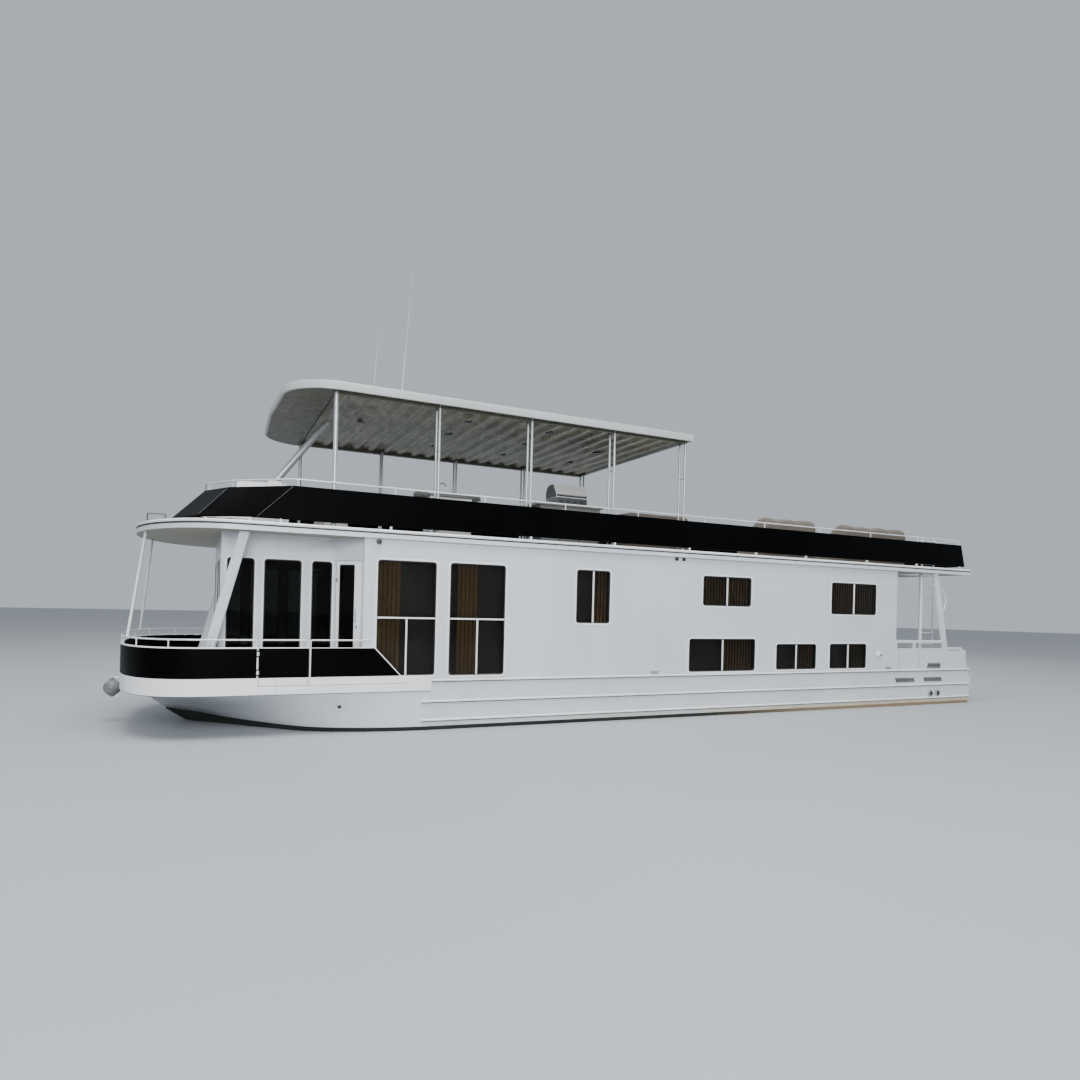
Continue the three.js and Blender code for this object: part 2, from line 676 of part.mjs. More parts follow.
function aftLadder() {
  const { x0, x1, y, radius } = ladder;
  const foot = level.deck + gap;
  const head = 4250;
  const stiles = [x0, x1].map((x) => rod([x, y, foot], [x, y, head], radius, 6));
  const rungs = [];
  for (let z = level.deck + 300; z < head; z += 300) {
    rungs.push(box(x0, x1, y - 45, y + 45, z - 14, z + 14));
  }
  return joined([...stiles, ...rungs]);
}

// Roof and upper deck
function roofDeck() {
  const plan = shapeOf(bowedOutline(roofPlan, -9680, 0));
  const plate = slab(plan, level.roofUnder, level.roofTop);
  const { x0, x1, y0, y1 } = ladderHatch;
  return plate.subtract(box(x0, x1, y0, y1, level.roofUnder - 10, level.roofTop + 10));
}

// Upper bulwark: black panels that lean in, on stand-offs above the roof edge
const upperCorner = [
  // x at the lower edge, y at the lower edge, x at the upper edge, y at the upper edge
  [-9460, 2430, -9390, 2375],
  [7770, 2430, 7200, 2375],
  [8610, 2170, 8150, 1580],
  [8990, 1400, 8500, 900],
];
const panelThick = 35;

// Inner corners of a plan path, set in by an even thickness to the right of its run
function insetPath(path, thick) {
  const normal = ([ax, ay], [bx, by]) => {
    const run = new THREE.Vector2(bx - ax, by - ay).normalize();
    return new THREE.Vector2(run.y, -run.x);
  };
  return path.map((point, i) => {
    const before = normal(path[Math.max(i - 1, 0)], path[Math.max(i, 1)]);
    const after = normal(path[Math.min(i, path.length - 2)], path[Math.min(i + 1, path.length - 1)]);
    const mitre = before.clone().add(after).normalize();
    const reach = thick / mitre.dot(before);
    return [point[0] + mitre.x * reach, point[1] + mitre.y * reach];
  });
}

// Rings of flat panels that lean in between two edges, one ring at each corner
function leaningRings(corners, thick) {
  const lower = corners.map(([x, y]) => [x, y]);
  const upper = corners.map(([, , x, y]) => [x, y]);
  const lowerIn = insetPath(lower, thick);
  const upperIn = insetPath(upper, thick);
  return corners.map((corner, i) => [
    [...lower[i], level.panelUnder], [...lowerIn[i], level.panelUnder],
    [...upperIn[i], level.panelTop], [...upper[i], level.panelTop],
  ]);
}

const starboardCorner = upperCorner.toReversed().map(([x, y, tx, ty]) => [x, -y, tx, -ty]);
const upperRings = leaningRings([...upperCorner, ...starboardCorner], panelThick);

function standOffs(points) {
  return points.map(([x, y]) =>
    box(x - 35, x + 35, y - 30, y + 30, level.roofTop + gap, level.panelUnder + 60));
}

function upperSide() {
  const feet = [];
  for (let x = -9300; x < 7700; x += 1870) {
    feet.push([x, 2395]);
  }
  return joined([loft(upperRings.slice(0, 2)), ...standOffs(feet)]);
}

function upperFront() {
  const seam = 2;
  const rings = upperRings.slice(1, -1).map((ring, i, all) =>
    (i === 0 || i === all.length - 1 ? ring.map(([x, y, z]) => [x + seam, y, z]) : ring));
  const feet = [[8190, 2283], [8788, 1775], [8972, 600]].flatMap(([x, y]) => [[x, y], [x, -y]]);
  return joined([loft(rings), ...standOffs(feet)]);
}

function upperAft() {
  const [[x, y, topX, topY]] = upperCorner;
  const inset = panelThick + 2;
  const corner = [x, y - inset, topX, topY - inset];
  const other = [x, inset - y, topX, inset - topY];
  const feet = [1500, 0, -1500].map((footY) => [x + 30, footY]);
  return joined([loft(leaningRings([other, corner], panelThick)), ...standOffs(feet)]);
}

function upperRail() {
  const path = upperCorner.map(([, , x, y]) => [x - 12, y - 22]);
  const port = path.map(([x, y]) => [x, y, level.upperRail]);
  const loop = [...port, ...path.toReversed().map(([x, y]) => [x, -y, level.upperRail])];
  const rail = tube(loop, 13);
  const aftRail = rod(loop.at(-1), loop[0], 13, 6);
  const posts = path.slice(1);
  const [aftX, aftY] = path[0];
  const [cornerX, cornerY] = path[1];
  const bays = 7;
  for (let i = 0; i < bays; i += 1) {
    posts.push([aftX + ((cornerX - aftX) * i) / bays, aftY + ((cornerY - aftY) * i) / bays]);
  }
  const standing = posts.flatMap(([x, y]) => [-1, 1].map((side) =>
    rod([x, side * y, level.panelTop + gap], [x, side * y, level.upperRail], 10, 6)));
  return joined([rail, aftRail, ...standing]);
}

// Hardtop and its frames
const canopyHalf = 2490;
const postX = [6550, 4745, 2935, 1120, -600];
const postY = 2300;
const pairY = { inner: 2120, outer: 2305, radius: 22 };
const tray = { x0: -640, x1: 6620, rim: 45, depth: 60, ribs: 11 };

function canopyTop() {
  const corner = new THREE.Vector2(870, 850);
  const outline = [[stations.canopyAft, -canopyHalf]];
  for (const side of [-1, 1]) {
    const arc = [];
    for (let i = 0; i <= 10; i += 1) {
      const turn = (Math.PI / 2) * (i / 10);
      arc.push([
        stations.canopyFront - 60 - corner.x * (1 - Math.sin(turn)),
        canopyHalf - corner.y * (1 - Math.cos(turn)),
      ]);
    }
    if (side < 0) {
      outline.push(...arc.map(([x, y]) => [x, -y]));
      outline.push([stations.canopyFront, 0]);
    } else {
      outline.push(...arc.toReversed());
    }
  }
  outline.push([stations.canopyAft, canopyHalf]);
  const plate = slab(shapeOf(outline), level.canopyUnder, level.canopyTop);
  const { x0, x1, rim, depth, ribs } = tray;
  const half = canopyHalf - rim;
  const hollow = box(x0, x1, -half, half, level.canopyUnder - 10, level.canopyUnder + depth);
  const bay = (x1 - x0) / (ribs + 1);
  const ribBars = Array.from({ length: ribs }, (unused, i) => x0 + bay * (i + 1)).map((x) =>
    box(x - 35, x + 35, 60 - pairY.inner, pairY.inner - 60,
      level.canopyUnder + 15, level.canopyUnder + depth + 5));
  return joined([plate.subtract(hollow), ...ribBars]);
}

function canopyFrame() {
  const underTray = level.canopyUnder + tray.depth - gap;
  const beam = box(tray.x0 + 20, tray.x1 - 20, postY - 25, postY + 25, level.canopyUnder - 20, underTray);
  const foot = level.roofTop + gap;
  const head = level.canopyUnder - gap;
  const single = rod([postX[0], postY, foot], [postX[0], postY, head], 36, 10);
  const { inner, outer, radius } = pairY;
  const pairs = postX.slice(1).flatMap((x) => {
    const tubes = [inner, outer].map((y) => rod([x, y, foot], [x, y, head], radius, 8));
    const links = [4250, 4985].map((z) => box(x - 10, x + 10, inner, outer, z - 12, z + 12));
    const cap = box(x - radius, x + radius, inner - radius, outer, level.canopyUnder - 20, underTray);
    return [...tubes, ...links, cap];
  });
  return joined([beam, single, ...pairs]);
}

const helm = { x0: 7050, x1: 8000, half: 850, desk: 4340, top: 4500 };

// A flat-topped console, with a pod on the desk for the conduit
function helmConsole() {
  const { x0, x1, half, desk, top } = helm;
  const stand = across(shapeOf([
    [x0 + 80, level.roofTop + gap], [x1, level.roofTop + gap], [x1, desk - 50],
    [x1 - 40, desk - 10], [x0 + 130, desk], [x0, 4230], [x0, 4100],
  ]), -half, half);
  return stand.add(box(x0 + 120, x0 + 360, -100, 100, desk - 40, top));
}

const wheelHub = { x: helm.x0 - 60, y: 350, z: 4190, radius: 190 };

function steeringWheel() {
  const rim = new THREE.TorusGeometry(wheelHub.radius, 14, 6, 18).rotateY(Math.PI / 2);
  const hub = rod([-30, 0, 0], [60 - gap, 0, 0], 30, 10);
  const spokes = [90, 210, 330].map((degrees) => {
    const turn = THREE.MathUtils.degToRad(degrees);
    return rod([0, 0, 0], [0, wheelHub.radius * Math.cos(turn), wheelHub.radius * Math.sin(turn)], 9, 6);
  });
  return joined([solidFrom(rim), hub, ...spokes]);
}

function helmSeat() {
  const base = box(6080, 6500, -350, 1050, level.roofTop + gap, 3860);
  const cushion = box(6050, 6540, -380, 1080, 3855, 3980);
  const back = box(6030, 6120, -380, 1080, 3900, 4320);
  return joined([base, cushion, back]);
}

// A round conduit leans from the console top up into the hardtop
function conduit() {
  const foot = { x: 7310, z: helm.top - 40 };
  const head = { x: 6285, z: level.canopyUnder + tray.depth + 40 };
  const far = 200;
  const below = box(foot.x - far, foot.x + far, -far, far, foot.z - far, helm.top + gap);
  const above = box(
    head.x - far, head.x + far, -far, far, level.canopyUnder + tray.depth - gap, head.z + far);
  return without(rod([foot.x, 0, foot.z], [head.x, 0, head.z], 66, 12), [below, above]);
}

// Upper deck fittings
const bar = { x: 4190, y: 1150, length: 1380, width: 720, top: 4370 };

function wetBar() {
  const outline = new THREE.Shape();
  outline.absellipse(bar.x, bar.y, bar.length / 2, bar.width / 2, 0, 2 * Math.PI, false);
  const top = solidFrom(extruded(outline, 45, 10).translate(0, 0, bar.top - 45));
  const base = box(bar.x - 420, bar.x + 420, bar.y - 230, bar.y + 230, level.roofTop + gap, bar.top - 40);
  const tap = tube([
    [4380, bar.y, bar.top - 10], [4380, bar.y, bar.top + 160], [4355, bar.y, bar.top + 205],
    [4305, bar.y, bar.top + 222], [4255, bar.y, bar.top + 205], [4230, bar.y, bar.top + 160],
    [4230, bar.y, bar.top + 130],
  ], 14);
  return joined([top, base, tap]);
}

const grill = { x0: 1300, x1: 2015, y0: 1050, y1: 1550, counter: 4330, seat: 4470 };
const grillCounter = { x0: 960, x1: 2460, inset: 60 };

function grillIsland() {
  const { x0, x1, y0, y1, counter, seat } = grill;
  const cabinet = box(grillCounter.x0 + grillCounter.inset, grillCounter.x1 - grillCounter.inset,
    y0 - 60, y1 + 60, level.roofTop + gap, counter - 40);
  const top = box(grillCounter.x0, grillCounter.x1, y0 - 100, y1 + 100, counter - 45, counter);
  const firebox = box(x0, x1, y0, y1, counter - 10, seat);
  const bowl = box(x0 + 30, x1 - 30, y0 + 30, y1 - 30, counter + 30, seat + 10);
  const axis = [y0 - hingeOffset, seat + 14];
  const knuckles = [x0 + 120, x1 - 120].flatMap((x) => [-1, 1].flatMap((side) => {
    const near = x + side * (20 + gap);
    const far = x + side * 46;
    const [low, high] = [Math.min(near, far), Math.max(near, far)];
    return [
      rod([low, ...axis], [high, ...axis], 8, 6),
      box(low, high, y0 - 20, y0 - 8, seat - 40, seat + 12),
      box(low, high, y0 - 20, y0 + 10, seat - 40, seat - 4),
    ];
  }));
  return joined([cabinet, top, firebox.subtract(bowl), ...knuckles]);
}

// The grill hood: upright front, sloped upper front, flat top and rounded back, with flat ends
function hoodShell(margin, drop) {
  const { x0, x1, y0, y1, seat } = grill;
  const z0 = seat + 6;
  const section = new THREE.Shape();
  section.moveTo(y0 + margin, z0 - drop);
  section.lineTo(y1 - margin, z0 - drop);
  section.lineTo(y1 - margin, z0 + 80);
  section.lineTo(y1 - 150 - margin * 0.6, z0 + 284 - margin);
  section.lineTo(y0 + 170, z0 + 290 - margin);
  section.quadraticCurveTo(y0 + margin, z0 + 290 - margin, y0 + margin, z0 + 100);
  const length = x1 - x0 - 2 * margin;
  return solidFrom(extruded(section, length, 6).applyMatrix4(lengthwise).translate(x0 + margin, 0, 0));
}

function grillLid() {
  const { x0, x1, y0, y1, seat } = grill;
  const z0 = seat + 6;
  const outer = hoodShell(0, 0);
  const inner = hoodShell(20, 10);
  const bar = z0 + 60;
  const handle = tube(
    [[x0 + 80, y1 - 5, bar], [x0 + 80, y1 + 50, bar], [x1 - 80, y1 + 50, bar], [x1 - 80, y1 - 5, bar]], 11);
  const barrels = [x0 + 120, x1 - 120].flatMap((x) => [
    rod([x - 20, y0 - hingeOffset, seat + 14], [x + 20, y0 - hingeOffset, seat + 14], 8, 6),
    box(x - 18, x + 18, y0 - 18, y0 + 10, seat + 12, seat + 50),
  ]);
  return joined([outer.subtract(inner), handle, ...barrels]);
}

function deckLocker() {
  return box(-1250, 420, 1050, 1700, level.roofTop + gap, 4320);
}

function coveredSofa(x0, x1) {
  return along(shapeOf([
    [900, level.roofTop + gap], [1900, level.roofTop + gap], [1930, 4340], [1880, 4430],
    [1760, 4460], [1600, 4445], [1430, 4270], [1050, 4120], [900, 4020],
  ]), x0, x1);
}

// Machinery
function engineBlock() {
  return box(-8700, -7500, 560, 1240, engineWell.z0 + gap, 560);
}

function engineHatch() {
  const { x0, x1, y1 } = engineWell;
  const lid = box(x0 - hatch.ledge + running, x1 + hatch.ledge - running, running, y1 + hatch.ledge - running,
    level.deck - hatch.thick + gap, level.deck);
  return joined([lid, ...hatchHinges.map(({ leaf }) => moved(leaf, lengthwise))]);
}

function propellerBody() {
  const { hub, radius } = propeller;
  const core = rod([-110, 0, 0], [70, 0, 0], hub, 12);
  const length = (shaft.front - propeller.x) / Math.cos(Math.atan(shaft.slope));
  const line = rod([0, 0, 0], [length - gap, 0, 0], shaft.radius, 10);
  const blades = [0, 90, 180, 270].map((degrees) => {
    const blade = new THREE.Shape();
    blade.absellipse(0, radius * 0.58, radius * 0.36, radius * 0.42, 0, 2 * Math.PI, false);
    const plate = extruded(blade, 12, 6);
    plate.translate(0, 0, -6).rotateY(THREE.MathUtils.degToRad(62));
    return solidFrom(plate.rotateX(THREE.MathUtils.degToRad(degrees)));
  });
  return joined([core, line, ...blades]);
}

function rudderBody() {
  const { fore, aft, top, bottom, stock, seat } = rudder;
  const blade = slab(shapeOf([
    [fore, 0], [fore * 0.55, 24], [-fore * 0.2, 26], [-aft, 5],
    [-aft, -5], [-fore * 0.2, -26], [fore * 0.55, -24],
  ]), bottom, top);
  return blade.add(rod([0, 0, bottom + 60], [0, 0, seat - gap], stock, 10));
}

// Antennas and fender
function antenna(x, y) {
  const foot = level.canopyTop + gap;
  const base = rod([x, y, foot], [x, y, foot + 120], 30, 8);
  return base.add(rod([x, y, foot + 100], [x - 140, y, 8060], 9, 6));
}

// A ball fender ahead of the stem, on a bracket from the deck edge
function bowFender() {
  const radius = 140;
  const z = 610;
  const edge = deckPlan.centre + deckPlan.reach + gap;
  const x = edge + radius + 10;
  const ball = solidFrom(new THREE.SphereGeometry(radius, 14, 8).rotateX(Math.PI / 2).translate(x, 0, z));
  const neck = rod([x, 0, z + radius - 10], [x, 0, 800], 28, 8);
  const arm = box(edge, x + 28, -22, 22, 785, 810);
  const plate = box(edge, edge + 8, -60, 60, 730, 865);
  return joined([ball, neck, arm, plate]);
}

// Assembly
const boat = new THREE.Group();

function add(name, solid, material, position = [0, 0, 0]) {
  const mesh = new THREE.Mesh(geometryFrom(solid), material);
  mesh.name = name;
  mesh.position.set(...position);
  boat.add(mesh);
  return mesh;
}

function addPair(name, solid, material) {
  add(`${name}_port`, solid, material);
  add(`${name}_starboard`, mirrored(solid), material);
}

add('hull_topsides', hullTopsides(), whitePaint);
add('hull_bottom', hullBottom(), bottomPaint);
add('bow_deck', bowDeck(), whitePaint);
add('bulwark_bow', bulwarkBow(), blackPaint);
addPair('bulwark', bulwarkSide(), blackPaint);
addPair('gate', gatePort(), blackPaint);
add('bow_rail', bowRail(), railTube);
addPair('pillar', porchPillar(), whitePaint);
addPair('cabin_wall', cabinWall(), whitePaint);
addPair('glazing', sideGlazing(), tintedGlass);
addPair('porch_wall', porchWall(), whitePaint);
addPair('porch_door', cornerLeaf(), whitePaint);
add('front_bulkhead', frontBulkhead(), whitePaint);
add('front_door', frontLeaf(), railTube);
add('porch_glazing', porchGlazing(), tintedGlass);
add('aft_bulkhead', aftBulkhead(), whitePaint);
add('aft_door', aftLeaf(), whitePaint);
add('stern_quarter_port', sternQuarterPort(), whitePaint);
add('stern_quarter_starboard', mirrored(sternQuarter()), whitePaint);
add('transom_gate', transomGate(), whitePaint);
add('aft_ladder', aftLadder(), railTube);
add('roof_deck', roofDeck(), whitePaint);
addPair('upper_bulwark', upperSide(), blackPaint);
add('upper_bulwark_front', upperFront(), blackPaint);
add('upper_bulwark_aft', upperAft(), blackPaint);
add('upper_rail', upperRail(), railTube);
add('canopy_top', canopyTop(), canopyGrey);
addPair('canopy_frame', canopyFrame(), railTube);
add('helm_console', helmConsole(), whitePaint);
add('steering_wheel', steeringWheel(), blackPaint, [wheelHub.x, wheelHub.y, wheelHub.z]);
add('helm_seat', helmSeat(), seatVinyl);
add('canopy_conduit', conduit(), railTube);
add('wet_bar', wetBar(), counterGrey);
add('grill_island', grillIsland(), stainless);
add('grill_lid', grillLid(), stainless);
add('deck_locker', deckLocker(), tanCover);
add('covered_sofa_fore', coveredSofa(-4830, -3160), tanCover);
add('covered_sofa_aft', coveredSofa(-7950, -5650), tanCover);
addPair('engine', engineBlock(), enginePaint);
addPair('engine_hatch', engineHatch(), whitePaint);
for (const [name, side] of [['port', 1], ['starboard', -1]]) {
  const hub = [propeller.x, side * shaftSide, propeller.z];
  const screw = add(`propeller_${name}`, propellerBody(), bronze, hub);
  screw.rotation.y = -Math.atan(shaft.slope);
  add(`rudder_${name}`, rudderBody(), bronze, [rudder.x, side * shaftSide, 0]);
}
add('antenna_port', antenna(5470, 2420), railTube);
add('antenna_centre', antenna(5420, -340), railTube);
add('bow_fender', bowFender(), fenderRubber);

export default boat;
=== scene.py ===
# A houseboat afloat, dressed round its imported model. Metres. +X to the bow, +Y to port, +Z up, water at Z 0.
import json
import math

import bmesh
import bpy
from mathutils import Matrix, Vector, noise
from mathutils.bvhtree import BVHTree
from mathutils.geometry import tessellate_polygon

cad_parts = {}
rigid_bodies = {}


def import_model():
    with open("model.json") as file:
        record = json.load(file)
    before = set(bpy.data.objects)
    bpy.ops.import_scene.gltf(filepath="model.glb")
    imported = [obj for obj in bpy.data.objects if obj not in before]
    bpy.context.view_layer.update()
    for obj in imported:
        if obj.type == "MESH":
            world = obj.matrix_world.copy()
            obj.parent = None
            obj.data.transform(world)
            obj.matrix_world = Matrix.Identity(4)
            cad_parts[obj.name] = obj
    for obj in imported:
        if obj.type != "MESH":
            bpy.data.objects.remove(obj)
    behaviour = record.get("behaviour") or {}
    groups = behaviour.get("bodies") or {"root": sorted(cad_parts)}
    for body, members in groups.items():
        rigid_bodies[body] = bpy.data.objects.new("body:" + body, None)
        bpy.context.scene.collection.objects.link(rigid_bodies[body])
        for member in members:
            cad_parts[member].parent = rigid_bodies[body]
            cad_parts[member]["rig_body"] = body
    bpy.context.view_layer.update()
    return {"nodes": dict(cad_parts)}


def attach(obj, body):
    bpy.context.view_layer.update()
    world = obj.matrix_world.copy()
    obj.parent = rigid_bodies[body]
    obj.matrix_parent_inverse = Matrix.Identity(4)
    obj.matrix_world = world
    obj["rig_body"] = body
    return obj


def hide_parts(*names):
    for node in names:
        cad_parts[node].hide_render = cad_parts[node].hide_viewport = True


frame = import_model()
nodes = frame["nodes"]
sides = {"port": 1, "starboard": -1}
up = Vector((0, 0, 1))
print("frame loaded:", len(nodes), "nodes")

# Camera, light and floor
photoCamera = {
    "place": (8.62, 14.84, 2.21),
    "turnAft": math.atan(345 / 728),   # from straight across the boat towards the stern
    "roll": 0.0247,
    "focal": 728 / 1080,               # in widths of the frame
    "shiftUp": 0.0625,
    "sensor": 36,
    "farthest": 400,
}
studio = {
    "skyColour": (0.80, 0.86, 0.95), "skyStrength": 0.62,
    "floorColour": (0.36, 0.38, 0.40), "floorRough": 0.55, "floorRadius": 140,
    "lamps": {
        # place, aim, size, watts
        "overcast": ((6, 10, 30), (0, 0, 2), 24, 14000),
        "quay": ((14, 34, 12), (0, 0, 2), 16, 9000),
        "far": ((-16, -24, 14), (0, 0, 2), 20, 2600),
    },
}


def addObject(name, data):
    made = bpy.data.objects.new(name, data)
    bpy.context.scene.collection.objects.link(made)
    return made


def makeCamera():
    turn, roll = photoCamera["turnAft"], photoCamera["roll"]
    ahead = Vector((-math.sin(turn), -math.cos(turn), 0))
    right = ahead.cross(up)
    across = right * math.cos(roll) + up * math.sin(roll)
    upright = up * math.cos(roll) - right * math.sin(roll)
    lens = bpy.data.cameras.new("photoCamera")
    lens.sensor_width = photoCamera["sensor"]
    lens.lens = photoCamera["sensor"] * photoCamera["focal"]
    lens.shift_y = photoCamera["shiftUp"]
    lens.clip_end = photoCamera["farthest"]
    camera = addObject("photoCamera", lens)
    camera.matrix_world = Matrix((across, upright, -ahead)).transposed().to_4x4()
    camera.location = photoCamera["place"]
    bpy.context.scene.camera = camera


def makeStudio():
    world = bpy.data.worlds.new("overcast")
    world.use_nodes = True
    sky = world.node_tree.nodes["Background"]
    sky.inputs["Color"].default_value = (*studio["skyColour"], 1)
    sky.inputs["Strength"].default_value = studio["skyStrength"]
    bpy.context.scene.world = world
    for name, (spot, aim, size, watts) in studio["lamps"].items():
        light = bpy.data.lights.new(name, "AREA")
        light.shape = "DISK"
        light.size = size
        light.energy = watts
        lamp = addObject(name, light)
        lamp.location = spot
        lamp.rotation_euler = (Vector(aim) - Vector(spot)).to_track_quat("-Z", "Y").to_euler()


makeCamera()
makeStudio()
print("camera and light made")


# Node helpers
def feed(tree, value, socket):
    if isinstance(value, bpy.types.NodeSocket):
        tree.links.new(value, socket)
    elif value is not None:
        socket.default_value = (*value, 1) if socket.type == "RGBA" else value


def addNode(tree, kind, inputs, **settings):
    made = tree.nodes.new(kind)
    for key, value in settings.items():
        setattr(made, key, value)
    for key, value in inputs.items():
        feed(tree, value, made.inputs[key])
    return made.outputs


def calc(tree, operation, a, b=None):
    return addNode(tree, "ShaderNodeMath", {0: a, 1: b}, operation=operation)[0]


def rise(tree, value, low, high, toLow=0.0, toHigh=1.0):
    ends = {"Value": value, "From Min": low, "From Max": high, "To Min": toLow, "To Max": toHigh}
    return addNode(tree, "ShaderNodeMapRange", ends, interpolation_type="SMOOTHSTEP")["Result"]


def place(tree, stretch=(1, 1, 1)):
    spot = addNode(tree, "ShaderNodeTexCoord", {})["Object"]
    return addNode(tree, "ShaderNodeVectorMath", {0: spot, 1: stretch}, operation="MULTIPLY")[0]


def cloud(tree, scale, detail, rough=0.5, stretch=(1, 1, 1)):
    return addNode(tree, "ShaderNodeTexNoise", {
        "Vector": place(tree, stretch), "Scale": scale, "Detail": detail, "Roughness": rough})["Fac"]


def split(tree, vector):
    return addNode(tree, "ShaderNodeSeparateXYZ", {0: vector})


def blendColour(tree, under, over, mask):
    return addNode(tree, "ShaderNodeMix", {0: mask, 6: under, 7: over}, data_type="RGBA")[2]


# Effects that several finishes share: each takes its tree and its inputs and gives its outputs by name
def edgeWear(tree, given):
    rounded = addNode(tree, "ShaderNodeBevel", {"Radius": given["Radius"]}, samples=4)[0]
    flat = addNode(tree, "ShaderNodeNewGeometry", {})["Normal"]
    same = addNode(tree, "ShaderNodeVectorMath", {0: rounded, 1: flat}, operation="DOT_PRODUCT")["Value"]
    patch = rise(tree, cloud(tree, given["Patch Scale"], 5, 0.65), 0.46, 0.62)
    worn = calc(tree, "MULTIPLY", rise(tree, same, 0.995, 0.86), patch)
    return {"Mask": calc(tree, "MULTIPLY", worn, given["Amount"])}


def patches(tree, given):
    return {"Broad": rise(tree, cloud(tree, given["Scale"], 6, 0.6), 0.32, 0.68),
            "Fine": cloud(tree, given["Fine Scale"], 3, 0.6)}


def rainMarks(tree, given):
    run = rise(tree, cloud(tree, given["Spacing"], 3, 0.55, (1, 1, 0.07)), 0.52, 0.74)
    mask = calc(tree, "MULTIPLY", run, rise(tree, cloud(tree, 0.45, 2), 0.40, 0.66))
    return {"Mask": calc(tree, "MULTIPLY", mask, given["Amount"])}


def dust(tree, given):
    upward = split(tree, addNode(tree, "ShaderNodeNewGeometry", {})["Normal"])["Z"]
    settled = rise(tree, cloud(tree, 1.4, 7, 0.62), 0.38, 0.66)
    mask = calc(tree, "MULTIPLY", rise(tree, upward, 0.35, 0.95), settled)
    return {"Mask": calc(tree, "MULTIPLY", mask, given["Amount"])}


def weave(tree, given):
    threads = {0: place(tree), "Scale": given["Threads"]}
    scaled = addNode(tree, "ShaderNodeVectorMath", threads, operation="SCALE")[0]
    x, y, z = [calc(tree, "SINE", axis) for axis in split(tree, scaled)]
    pairs = [calc(tree, "MULTIPLY", a, b) for a, b in ((x, y), (y, z), (x, z))]
    height = calc(tree, "ADD", pairs[0], calc(tree, "ADD", pairs[1], pairs[2]))
    return {"Height": calc(tree, "MULTIPLY", height, 0.4), "Shade": rise(tree, height, -1.2, 1.2)}


def ripple(tree, given):
    return {"Height": cloud(tree, given["Scale"], 1.5, 0.4)}


def makeEffect(name, build, inputs):
    tree = bpy.data.node_groups.new(name, "ShaderNodeTree")
    for label, default in inputs.items():
        socket = tree.interface.new_socket(label, in_out="INPUT", socket_type="NodeSocketFloat")
        socket.default_value = default
    made = build(tree, tree.nodes.new("NodeGroupInput").outputs)
    for label in made:
        tree.interface.new_socket(label, in_out="OUTPUT", socket_type="NodeSocketFloat")
    out = tree.nodes.new("NodeGroupOutput").inputs
    for label, source in made.items():
        tree.links.new(source, out[label])
    return tree


effects = {
    "edgeWear": makeEffect("edgeWear", edgeWear, {"Radius": 0.012, "Amount": 1, "Patch Scale": 3}),
    "patches": makeEffect("patches", patches, {"Scale": 0.6, "Fine Scale": 40}),
    "rainMarks": makeEffect("rainMarks", rainMarks, {"Spacing": 5, "Amount": 1}),
    "dust": makeEffect("dust", dust, {"Amount": 0.3}),
    "weave": makeEffect("weave", weave, {"Threads": 900}),
    "ripple": makeEffect("ripple", ripple, {"Scale": 1.2}),
}


def useEffect(tree, name, **inputs):
    named = {key.replace("_", " "): value for key, value in inputs.items()}
    return addNode(tree, "ShaderNodeGroup", named, node_tree=effects[name])


